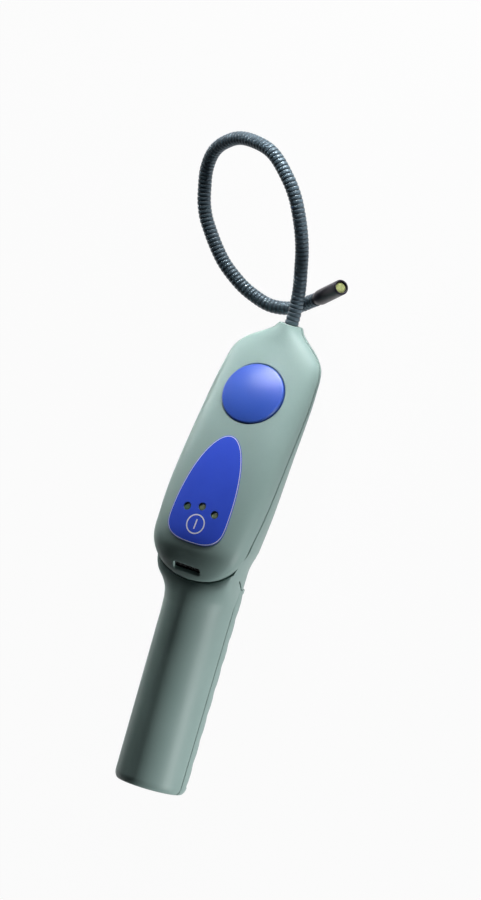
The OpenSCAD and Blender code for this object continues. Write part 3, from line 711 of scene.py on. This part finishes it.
SLIT_LOW, SLIT_HIGH = np.array([-56.4, 23.6]), np.array([-50.9, 34.9])
SLIT_X, SLIT_WIDE = (16.6, 27.0), 1.1


def slit_rows(hand):
    """Slanted slit in the flank that carries the end of the door upwards."""
    run = SLIT_HIGH - SLIT_LOW
    off = SLIT_WIDE / 2 * np.array([-run[1], run[0]]) / np.linalg.norm(run)
    corners = [SLIT_LOW - off, SLIT_HIGH - off, SLIT_HIGH + off, SLIT_LOW + off]
    return [np.array([(hand * x, y, z) for y, z in corners]) for x in SLIT_X]


print("channel rows:", len(moat_v))

# %% Round tools and the back's height
def turned(name, profile, place, count=64):
    """Closed solid of revolution from radii and heights, both ends on the axis."""
    origin, across, along, out = place
    a = np.linspace(0, 2 * np.pi, count, endpoint=False)
    spin = np.cos(a)[:, None] * across + np.sin(a)[:, None] * along
    rings = [origin + r * spin + z * out for r, z in profile[1:-1]]
    points, faces = loft(rings)
    ends = [origin + profile[0][1] * out, origin + profile[-1][1] * out]
    first, last = len(points), len(points) - count
    faces = faces[:-2] + [(j, (j + 1) % count, first) for j in range(count)]
    faces += [(last + j, last + (j + 1) % count, first + 1) for j in range(count)]
    return piece(name, np.concatenate([points, ends]), faces)


def rod(radius, start, end, x, z):
    """Plain round tool along the handle, for cutting."""
    place = np.array([x, 0.0, z]), ACROSS, np.array([0, 0, -1.0]), np.array([0, 1.0, 0])
    return turned("rod", [(0, start), (radius, start), (radius, end), (0, end)], place, 96)


def back_z(x, y):
    """Height of the housing's back over a point of the plan."""
    _, middle, low = house_heights(y)
    n = float(curve(LOWER_STATIONS, y - TIP_Y))
    return middle - (middle - low) * (1 - (abs(x) / house_half(y)) ** n) ** (1 / n)


def upright(x, y):
    """Frame of a tool that stands on the table."""
    return np.array([x, y, 0.0]), ACROSS, np.array([0, 1.0, 0]), np.array([0, 0, 1.0])


SCREWS = [(14.0, TIP_Y + 22.5), (-14.0, TIP_Y + 22.5), (17.0, TIP_Y + 127), (-17.0, TIP_Y + 127)]
print("back over the table at the screws:", [round(back_z(*screw), 2) for screw in SCREWS])

# %% Cuts in the housing
POST_R, POST_GAP, POST_ROOT = 3.4, 0.2, 1.0
SCREW_R, SINK_R, SINK_DEPTH = 1.5, 3.0, 3.0
PAST, ABOVE, ASIDE = 5.0, 75.0, 60.0
BORE_DEPTH, BORE_OVER = 16.0, 14.0
carve(house, piece("moat", *loft([moat_row(TIP_Y + v) for v in moat_v])))
carve(house, piece("hollow", *loft([tub_row(TIP_Y + v) for v in np.linspace(*TUB_V, 96)])))
for sx, sy in SCREWS:
    root, top = back_z(abs(sx) + POST_R, sy) + POST_ROOT, joint_z(sy) - POST_GAP
    post = [(0, root), (POST_R, root), (POST_R, top), (0, top)]
    carve(house, turned("post", post, upright(sx, sy), 32), "UNION")
for sx, sy in SCREWS:
    seat = back_z(sx, sy) + SINK_DEPTH
    hole = [(0, -PAST), (SINK_R, -PAST), (SINK_R, seat), (SCREW_R, seat), (SCREW_R, ABOVE), (0, ABOVE)]
    carve(house, turned("screw_hole", hole, upright(sx, sy), 32))
carve(house, rod(BAY_R, FOOT_Y + FOOT_T, BAY_Y, 0, CELL_Z))
door_plan = [(-ASIDE, FOOT_Y - PAST), (ASIDE, FOOT_Y - PAST), (ASIDE, DOOR_Y), (-ASIDE, DOOR_Y)]
carve(house, piece("half_box", *loft([np.array([(x, y, z) for x, y in door_plan])
                                      for z in (CELL_Z - ASIDE, SPLIT_Z)])))
carve(house, rod(BORE_R, NOSE_Y - BORE_DEPTH, NOSE_Y + BORE_OVER, 0, NOSE_Z))
for hand in (-1, 1):
    carve(house, piece("slit", *loft(slit_rows(hand))))
finish_edges(house)
house.data.materials.append(shell_plastic)
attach(house, "body")
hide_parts("housing")
print("housing faces:", len(house.data.polygons))

# %% [markdown]
# ## The battery door
# The back half of the handle draws off towards the foot. Fingers rest in a row of eight ripples across it.
# The ripples are part of the row heights of a loft, so that they are real shape and keep their rounded
# crests, and the bay for the cells is bored out of the loft.

# %% Door shell
RIPPLES, RIPPLE_DEPTH, RIPPLE_ROWS = 8, 1.8, 28
RIPPLE_Y0, RIPPLE_Y1 = FOOT_Y + FOOT_ROUND, DOOR_Y - 3.0
RIPPLE_PITCH = (RIPPLE_Y1 - RIPPLE_Y0) / RIPPLES
DOOR_END, DOOR_TOP_Z = DOOR_Y - SEAM, CELL_Z - SEAM


def door_row(y, count=72):
    """One half-round row of the door, drawn in where a ripple's groove runs."""
    wave = abs(np.cos(np.pi * (y - RIPPLE_Y0) / RIPPLE_PITCH)) ** 4
    notch = RIPPLE_DEPTH * wave if RIPPLE_Y0 <= y <= RIPPLE_Y1 else 0.0
    edge = lip(y - FOOT_Y, EDGE_ROUND) + lip(DOOR_END - y, END_ROUND)
    a = -np.pi * np.arange(count + 1) / count
    depth = ((CELL_Z - notch) * foot_draw(y) - edge) * DOOR_TOP_Z / CELL_Z
    x, z = (HANDLE_R * foot_draw(y) - edge) * np.cos(a), DOOR_TOP_Z + depth * np.sin(a)
    x -= np.sign(x) * lip(DOOR_TOP_Z - z, END_ROUND)
    return np.stack([x, np.full_like(x, y), z], 1)


door_y = np.concatenate([
    FOOT_Y + EDGE_STEPS, np.arange(FOOT_Y + 1, RIPPLE_Y0, 0.5),
    RIPPLE_Y0 + RIPPLE_PITCH * np.arange(RIPPLE_ROWS * RIPPLES + 1) / RIPPLE_ROWS,
    np.arange(RIPPLE_Y1 + 0.4, DOOR_END - 0.7, 0.4), DOOR_END - EDGE_STEPS[::-1]])
door = piece("door_shell", *loft([door_row(y) for y in door_y]))
carve(door, rod(BAY_R, FOOT_Y + FOOT_T, DOOR_Y + 20, 0, CELL_Z))
finish_edges(door)
door.data.materials.append(shell_plastic)
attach(door, "door")
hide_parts("battery_door")
print("door faces:", len(door.data.polygons))

# %% [markdown]
# ## The thumb button
# A shallow dome on a short round wall, with a soft edge, a foot rim that keeps it in its hole and a stem over
# the switch's plunger. It is turned from one profile about the axis that it is pressed along.

# %% Button
BUTTON_RIM, BUTTON_RISE, BUTTON_EDGE = DECK * np.cos(TILT) + 0.3, 2.6, 1.2
DOME_R = (BUTTON_R**2 + BUTTON_RISE**2) / (2 * BUTTON_RISE)
RIM_LOW, RIM_TOP, RIM_OUT = 4.9, 5.8, 0.9
BUTTON_WALL, BUTTON_SKIN, STEM_R, STEM_LOW = 1.8, 1.0, 2.4, 5.3


def button_profile():
    """Radii and heights from the crown down the outside and back up the inside to the stem."""
    dome = [(r, BUTTON_RIM + BUTTON_RISE - DOME_R + np.sqrt(DOME_R**2 - r**2))
            for r in np.linspace(0, BUTTON_R - BUTTON_EDGE, 22)]
    (r0, z0), turn = dome[-1], np.radians([22, 40, 56, 70, 82, 90])
    edge = [(r0 + BUTTON_EDGE * np.sin(t), z0 - BUTTON_EDGE * (1 - np.cos(t))) for t in turn]
    outside = [(BUTTON_R, RIM_TOP + 0.3), (BUTTON_R + 0.3, RIM_TOP), (BUTTON_R + RIM_OUT, RIM_TOP),
               (BUTTON_R + RIM_OUT, RIM_LOW)]
    bore, ceiling = BUTTON_R - BUTTON_WALL, BUTTON_RIM - BUTTON_SKIN
    stem = [(bore, RIM_LOW), (bore, ceiling), (STEM_R, ceiling), (STEM_R, STEM_LOW), (0, STEM_LOW)]
    return dome + edge + outside + stem


button = turned("button_cap", button_profile(), on_board(0, BUTTON_Y), 128)
button.data.materials.append(button_plastic)
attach(button, "button")
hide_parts("thumb_button")
print("button faces:", len(button.data.polygons))

# %% [markdown]
# ## The film panel
# A thin printed film is glued round the lamps and over the power key. Its outline is a tongue, with a fine
# pale line inside the edge and a ring with a bar for the key. A printed line could be painted in the
# material, but let into the mesh as loops it stays sharp at any distance, and each area takes its own finish.

# %% Film
FILM_HALF, FILM_Y0, FILM_LEN, WIDEST_AT, HEEL_N = 18.4, TIP_Y + 24.0, 64.0, 0.22, 2.8
FILM_MID, FILM_Y1 = FILM_Y0 + WIDEST_AT * FILM_LEN, FILM_Y0 + FILM_LEN
FILM_TOP, FILM_UNDER = 0.42, 0.07
LINE_IN, LINE_OUT = 0.62, 0.26
KEY = np.array([0.0, LAMP_Y - 6])
RING_R, RING_STROKE, BAR_HALF = 5.4, 0.38, (0.42, 2.9)
FILM_GRID, GRID_CLEAR, LOOP_CLEAR = 1.2, 0.4, 0.3


def film_outline(grow, count=220):
    """Tongue that is half an ellipse above its widest line and a fuller half below."""
    a = np.linspace(0, 2 * np.pi, count, endpoint=False)
    up = np.sin(a) > 0
    n = np.where(up, 2, HEEL_N)
    r = (np.abs(np.cos(a)) ** n + np.abs(np.sin(a)) ** n) ** (-1 / n)
    tall = np.where(up, FILM_Y1 - FILM_MID, FILM_MID - FILM_Y0)
    loop = np.stack([FILM_HALF * r * np.cos(a), FILM_MID + r * np.sin(a) * tall], 1)
    run = np.roll(loop, -1, 0) - np.roll(loop, 1, 0)
    out = np.stack([run[:, 1], -run[:, 0]], 1) / np.linalg.norm(run, axis=1)[:, None]
    return loop + grow * out


def film_panel():
    """Film with its lamp holes; the inked areas take the second material."""
    lamps = []
    for p in LAMPS:
        loop = lamp_loop(0)
        lamps.append(in_frame(on_board(*p), loop, height_at_face(on_board(*p), loop))[:, :2])
    a = np.linspace(0, 2 * np.pi, 72, endpoint=False)
    spin = np.stack([np.cos(a), np.sin(a)], 1)
    ring_in, ring_out = KEY + (RING_R - RING_STROKE) * spin, KEY + (RING_R + RING_STROKE) * spin
    bar = KEY + np.array([(-1, -1), (1, -1), (1, 1), (-1, 1)]) * BAR_HALF
    edge, line_out, line_in = film_outline(0), film_outline(-LINE_OUT), film_outline(-LINE_IN)
    loops = [edge, line_out, line_in, ring_out, ring_in, bar] + lamps
    columns, rows = FILM_GRID * np.arange(-15, 16), np.arange(FILM_Y0, FILM_Y1, FILM_GRID)
    grid = np.stack(np.meshgrid(columns, rows), -1).reshape(-1, 2)
    grid = grid[inside(film_outline(-LINE_IN - GRID_CLEAR), grid)]
    for loop in loops[3:]:
        centre = loop.mean(0)
        radius = np.linalg.norm(loop - centre, axis=1).mean()
        grid = grid[np.abs(np.linalg.norm(grid - centre, axis=1) - radius) > LOOP_CLEAR]
    plan = np.concatenate(loops + [grid])
    starts = np.cumsum([0] + [len(loop) for loop in loops])
    numbers = [np.arange(s, e) for s, e in zip(starts, starts[1:])]
    edges = [(int(p), int(q)) for k in numbers for p, q in zip(k, np.roll(k, -1))]
    _, _, tris, source, _, _ = delaunay_2d_cdt([Vector(p) for p in plan.tolist()], edges, [], 0, 1e-7)
    tris = np.array([[source[v][0] for v in t] for t in tris])
    middle = plan[tris].mean(1)
    solid = inside(edge, middle)
    for lamp in lamps:
        solid &= ~inside(lamp, middle)
    tris, middle = tris[solid], middle[solid]
    inked = inside(line_out, middle) & ~inside(line_in, middle)
    inked |= inside(ring_out, middle) & ~inside(ring_in, middle) | inside(bar, middle)
    face = face_z(plan[:, 0], plan[:, 1])
    top, under = (np.column_stack([plan, face + lift]) for lift in (FILM_TOP, FILM_UNDER))
    faces = tris.tolist() + (tris[:, ::-1] + len(plan)).tolist()
    walls = [f for k in [numbers[0]] + numbers[6:] for f in ring_band(k, k + len(plan))]
    marks = np.concatenate([inked, np.zeros(len(tris) + len(walls), bool)])
    return piece("film_panel", np.concatenate([top, under]), faces + walls, indices=marks)


film = film_panel()
film.data.materials.append(film_blue)
film.data.materials.append(ink_pale)
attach(film, "body")
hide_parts("label")
print("film faces:", len(film.data.polygons))

# %% [markdown]
# ## The lamps
# Each lamp is a small tinted lens that fills its hole a little below the film. A ball-ended solid would leave
# a dark ring round it, so the lens is turned with a nearly flat top and a softly rounded edge.

# %% Lamp lenses
LENS_SINK = 0.35


def lamp_lens(name, place, material):
    """Lens turned from its crown down to the circuit board."""
    top = float(height_at_face(place, np.zeros((1, 2)))[0]) - LENS_SINK
    profile = [(0, top), (0.7, top - 0.02), (1.3, top - 0.08), (1.75, top - 0.18), (2.02, top - 0.34)]
    profile += [(2.16, top - 0.56), (LAMP_R, top - 0.9), (LAMP_R, 0.1), (0, 0.1)]
    lamp = turned(name, profile, place, 40)
    lamp.data.materials.append(material)
    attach(lamp, "body")
    return lamp


lamps = [lamp_lens(name, on_board(*p), material) for name, p, material in zip(
    ("lamp_left_lens", "lamp_mid_lens", "lamp_right_lens"), LAMPS, (lens_green, lens_olive, lens_olive))]
for lamp, node, slot in zip(lamps, ("led_left", "led_mid", "led_right"),
                            ("lamp_green", "lamp_olive", "lamp_olive")):
    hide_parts(node)
print("lamps:", [lamp.name for lamp in lamps])

# %% [markdown]
# ## The gooseneck
# The probe is a wound metal tube that keeps any bend it is given. Its centre line runs up out of the nose,
# round one loop and back under itself to the tip. A texture could fake the ribs, but they break the outline,
# so each rib is eight real rings. The tube bends at three joints; the stretches between them ride rigidly
# with their bodies, and the short stretches at the joints keep their places and ride with no body.

# %% Centre line
NECK_R, RIB_PITCH, RIB_DEPTH, TUBE_POINTS = 4.0, 2.5, 0.55, 32
LOW_Z, TRAIL_STEP, LOOK, RIB_SHARP = NECK_R + 0.5, 0.8, 0.6, 80
BEND = [(0, 0, NOSE_Z), (0, 6, NOSE_Z + 0.1), (-0.2, 14.5, NOSE_Z + 0.9), (-0.4, 22, 17), (-1, 32, 20.5),
        (-1.6, 43, 25), (-3.4, 53, 29), (-6.3, 62.5, 32.5), (-10.5, 71.6, 35), (-16.8, 80, 36.5),
        (-29.8, 90.6, 35.5), (-40.8, 94, 33), (-57.8, 93.6, 27), (-70, 87.5, 21.5), (-77, 80, 17),
        (-80, 69.5, 13), (-79.2, 59, 10.5), (-77, 49, 8.8), (-72.5, 39.8, 7.4), (-58.2, 22.7, LOW_Z + 1.1),
        (-44, 13, LOW_Z + 0.5), (-33.4, 8.6, LOW_Z + 0.2), (-21, 6, LOW_Z + 0.1), (-8.4, 8, LOW_Z + 0.1),
        (-0.4, 12.6, LOW_Z + 0.7), (3.4, 15.2, LOW_Z + 1.9), (9, 18.5, LOW_Z + 4.9), (32.4, 32.5, 30.6)]
MID_BEND, TIP_BEND = 16, 26
bend = np.array(BEND, float)
pace = np.concatenate([[0], np.cumsum(np.linalg.norm(np.diff(bend, axis=0), axis=1))])
steps = np.arange(0, pace[-1], TRAIL_STEP)
trail = np.stack([curve(np.column_stack([pace, bend[:, k]]), steps) for k in range(3)], 1) + [0, NOSE_Y, 0]
reach = np.concatenate([[0], np.cumsum(np.linalg.norm(np.diff(trail, axis=0), axis=1))])
S_MID, S_TIP = (reach[round(pace[k] / TRAIL_STEP)] for k in (MID_BEND, TIP_BEND))


def neck_point(s):
    """Point of the centre line at a length from the nose; before the nose it runs straight back."""
    p = np.stack([np.interp(s, reach, trail[:, k]) for k in range(3)], -1)
    return p + np.multiply.outer(np.minimum(s, 0), (0, 1.0, 0))


def neck_frame(s):
    """Place on the neck with its last direction along the tube."""
    ahead = neck_point(s + LOOK) - neck_point(s - LOOK)
    ahead = ahead / np.linalg.norm(ahead)
    across = np.cross(ahead, (0, 0, 1.0))
    across = across / np.linalg.norm(across)
    return neck_point(s), across, np.cross(ahead, across), ahead


print("middle and tip joints at", round(S_MID, 1), round(S_TIP, 1), "mm from the nose")

# %% Ribbed tube
RIB_START, RIB_END = 0.1, S_TIP - 1.2
RIB_COUNT = round((RIB_END - RIB_START) / RIB_PITCH)
RIB_STEP = (RIB_END - RIB_START) / RIB_COUNT
RIB_ROWS = np.array([0, 0.05, 0.15, 0.3, 0.5, 0.7, 0.85, 0.95])
ROOT_CORE = [(-15.0, NECK_R - 1.0), (RIB_START - 0.01, NECK_R - 1.0)]


def ribbed_tube(name, first, last, core=()):
    """Tube over some of the ribs, with a mark of how deep in a groove each point lies; the mark paints shade
    into the grooves.
    """
    u = np.concatenate([np.tile(RIB_ROWS, last - first), [0]])
    rib = np.concatenate([np.repeat(np.arange(first, last), len(RIB_ROWS)), [last]])
    s = RIB_START + RIB_STEP * (rib + u)
    deep = 1 - np.sqrt(1 - (2 * u - 1) ** 2)
    radii = NECK_R - RIB_DEPTH * deep
    s, radii = (np.concatenate([[c[k] for c in core], row]) for k, row in enumerate((s, radii)))
    deep = np.concatenate([np.ones(len(core)), deep])
    a = np.linspace(0, 2 * np.pi, TUBE_POINTS, endpoint=False)
    rows = []
    for along, r in zip(s, radii):
        origin, across, up, _ = neck_frame(along)
        rows.append(origin + r * (np.cos(a)[:, None] * across + np.sin(a)[:, None] * up))
    tube = piece(name, *loft(rows), sharp=RIB_SHARP)
    # The groove mark feeds painted shade into the coat's colour; the core is marked as fully shaded.
    groove = tube.data.attributes.new("groove", "FLOAT", "POINT")
    groove.data.foreach_set("value", np.repeat(deep, TUBE_POINTS).astype(np.float32))
    tube.data.materials.append(gooseneck_coat_and_groove_shade)
    return tube


def rib_at(s):
    """Number of the rib nearest to a length from the nose."""
    return round((s - RIB_START) / RIB_STEP)


def neck_blend(tube):
    """Fixes a tube's placement into its points; the tube is tied to no body."""
    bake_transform(tube)


ROOT_BLEND, ROOT_END, MID_REACH, TIP_REACH = 3.0, 22.0, 13.0, 12.0
cuts = [0, rib_at(ROOT_END), rib_at(S_MID - MID_REACH), rib_at(S_MID + MID_REACH), rib_at(S_TIP - TIP_REACH),
        RIB_COUNT]
names = ["neck_root_ribs", "neck_lower_ribs", "neck_mid_ribs", "neck_upper_ribs", "neck_tip_ribs"]
tubes = [ribbed_tube(n, a, b, ROOT_CORE if a == 0 else ()) for n, a, b in zip(names, cuts, cuts[1:])]
neck_blend(tubes[0])
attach(tubes[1], "neck_a")
neck_blend(tubes[2])
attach(tubes[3], "neck_b")
neck_blend(tubes[4])
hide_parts("neck_root")
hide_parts("neck_lower")
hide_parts("neck_upper")
print("ribs:", RIB_COUNT, "pitch", round(RIB_STEP, 3))

# %% [markdown]
# ## The sensing tip
# A straight black sleeve slips over the end of the gooseneck. Its open end shows a thin rim and, just inside,
# a disc of felt that keeps oil off the sensor. Both are turned about the tip's own axis.

# %% Sleeve and felt
SLEEVE_R, SLEEVE_START, SLEEVE_END = 4.5, -1.3, 28.5
TIP_BORE_R, TIP_BORE_LOW, FELT_R, FELT_LOW, FELT_TOP = 3.5, 8.0, 3.45, 25.3, 27.7
sleeve_profile = [(0, SLEEVE_START), (3.0, SLEEVE_START), (3.25, -1.15), (3.5, -0.6), (3.9, 0.9), (4.25, 2.4),
                  (4.43, 3.4), (SLEEVE_R, 4.4)]
sleeve_profile += [(SLEEVE_R, z) for z in np.linspace(6, SLEEVE_END - 0.6, 8)]
OUTER_LIP, INNER_LIP = [(0.05, 0.3), (0.18, 0.1), (0.36, 0)], [(0.2, 0), (0.06, 0.06), (0, 0.2)]
sleeve_profile += [(SLEEVE_R - draw, SLEEVE_END - drop) for draw, drop in OUTER_LIP]
sleeve_profile += [(TIP_BORE_R + draw, SLEEVE_END - drop) for draw, drop in INNER_LIP]
sleeve_profile += [(TIP_BORE_R, TIP_BORE_LOW), (0, TIP_BORE_LOW)]
sleeve = turned("tip_sleeve", sleeve_profile, neck_frame(S_TIP), 56)
sleeve.data.materials.append(sleeve_plastic)
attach(sleeve, "tip")
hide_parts("sensor_sleeve")

FELT_CROWN = [(0, 0), (0.8, -0.02), (1.7, 0.02), (2.5, 0.1), (3.1, 0.28), (3.4, 0.6), (FELT_R, 1.0)]
felt_profile = [(r, FELT_TOP - drop) for r, drop in FELT_CROWN] + [(FELT_R, FELT_LOW), (0, FELT_LOW)]
felt_disc = turned("tip_felt", felt_profile, neck_frame(S_TIP), 56)
felt_disc.data.materials.append(filter_felt)
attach(felt_disc, "tip")
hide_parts("filter_disc")
print("tip at", neck_point(S_TIP).round(1))

# %% [markdown]
# ## Parts that stay as they were packed
# Screws, cells, contacts, the circuit board and the parts on it already have their true shape, so
# their solids stay and only take a finish.

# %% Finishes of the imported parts
PACKED = {
    "sound_grille": dark_plastic,
    "button_plunger": white_plastic, "button_switch": black_plastic, "power_switch": black_plastic,
    "board_chip": black_plastic, "sounder": black_plastic, "circuit_board": board_mask,
    "board_screws": plated_steel, "cover_screws": plated_steel, "battery_lower": cell_jacket,
    "battery_upper": cell_jacket, "contact_plate": contact_nickel, "contact_cap": contact_nickel,
    "contact_spring": contact_nickel, "neck_clamp": clamp_alloy, "sensor_socket": white_plastic,
    "sensor_element": contact_nickel}
for name, material in PACKED.items():
    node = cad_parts[name]
    if not node.material_slots:
        node.data.materials.append(material)
    for material_slot in node.material_slots:
        material_slot.material = material
print("packed parts finished:", len(PACKED))

# %% [markdown]
# ## Table, light and camera
# The photograph is a plain studio picture on white. Two soft lights stand low beyond the probe and one higher
# up to the left, which glints on the button. Three weak, narrow ones brighten the head's left edge, the nose
# and the right side of the handle. The camera looks down from the right and is rolled a little, so that the
# tool leans in the picture. A long lens far away keeps the sides parallel.

# %% White table that keeps the shadow
GLOW_SHARE = 0.96


def white_table():
    """Pale table that the camera and mirrors see as white, apart from its shadows."""
    finish = Finish("white_table", Base_Color=srgb(190, 191, 192), Roughness=0.9, Specular_IOR_Level=0.1)
    rays = [finish.node("ShaderNodeLightPath", output=f"Is {kind} Ray")
            for kind in ("Camera", "Glossy", "Transmission")]
    seen = finish.node("ShaderNodeClamp", None, {0: rays[0] + rays[1] + rays[2]})
    glow = finish.node("ShaderNodeEmission", None, {"Color": (1, 1, 1, 1), "Strength": 1.0})
    both = finish.node("ShaderNodeMixShader", None,
                       {0: seen * GLOW_SHARE, 1: Wire(finish, finish.shader.outputs[0]), 2: glow})
    finish.feed(finish.tree.nodes["Material Output"].inputs["Surface"], both)
    return finish.material


TABLE_HALF = 4000.0
corners = [(TABLE_HALF * x, TABLE_HALF * y, 0) for x, y in ((-1, -1), (1, -1), (1, 1), (-1, 1))]
table = piece("table_top", corners, [(0, 1, 2, 3)])
table.data.materials.append(white_table())
print("table laid")

# %% Lights
def soft_light(name, place, aim, size, power, spread=180):
    """Oblong lamp that looks at a point; places in metres, power in watts."""
    lamp = bpy.data.lights.new(name, "AREA")
    lamp.shape, lamp.size, lamp.size_y = "RECTANGLE", size[0], size[1]
    lamp.energy, lamp.spread = power, np.radians(spread)
    obj = bpy.data.objects.new(name, lamp)
    bpy.context.scene.collection.objects.link(obj)
    obj.location = place
    obj.rotation_euler = (Vector(aim) - Vector(place)).to_track_quat("-Z", "Y").to_euler()


soft_light("key_beyond_probe", (0.05, 1.35, 0.17), (0, 0.03, 0.04), (0.8, 0.2), 3)
soft_light("near_key", (0.06, 0.62, 0.17), (0, 0.06, 0.03), (0.3, 0.1), 3.1)
soft_light("button_glint", (-0.61, 1.19, 0.80), (0, 0.05, 0.04), (0.3, 0.3), 2.8)
soft_light("left_of_head", (-1.2, 0.42, 0.06), (-0.03, 0.03, 0.04), (0.3, 0.06), 0.04, 12)
soft_light("nose_spot", (-0.25, 1.25, 0.55), (0.008, 0.094, 0.02), (0.1, 0.1), 0.017, 6)
soft_light("low_right", (0.75, -0.35, 0.02), (0, -0.15, 0.03), (0.4, 0.03), 0.31, 45)
world = bpy.data.worlds.new("studio_air")
world.use_nodes = True
world.node_tree.nodes["Background"].inputs["Color"].default_value = (0.9, 0.95, 1.0, 1)
world.node_tree.nodes["Background"].inputs["Strength"].default_value = 0.02
bpy.context.scene.world = world
bpy.context.scene.view_settings.view_transform = "Standard"
print("lights set")

# %% Camera
VIEW_TURN, VIEW_ROLL, VIEW_TILT = np.radians([25.5, 16.34, 5.0])
AIM, DISTANCE, PICTURE_HEIGHT = np.array([-3.5, 19.7, 25.0]), 8000.0, 513.9
SENSOR = 24.0
toward = np.array([np.sin(VIEW_TURN) * np.cos(VIEW_TILT), np.sin(VIEW_TILT),
                   np.cos(VIEW_TURN) * np.cos(VIEW_TILT)])
level = np.array([0, 1.0, 0]) - toward[1] * toward
level /= np.linalg.norm(level)
sideways = np.cross(level, toward)
right = np.cos(VIEW_ROLL) * sideways + np.sin(VIEW_ROLL) * level
upward = -np.sin(VIEW_ROLL) * sideways + np.cos(VIEW_ROLL) * level
camera = bpy.data.objects.new("camera", bpy.data.cameras.new("camera"))
bpy.context.scene.collection.objects.link(camera)
camera.data.sensor_fit, camera.data.sensor_height = "VERTICAL", SENSOR
camera.data.lens = SENSOR * DISTANCE / PICTURE_HEIGHT
turn = Matrix(np.column_stack([right, upward, toward]).tolist()).to_4x4()
camera.matrix_world = Matrix.Translation(Vector((AIM + toward * DISTANCE) * MM)) @ turn
bpy.context.scene.camera = camera
print("camera at", [round(c, 3) for c in camera.matrix_world.translation])
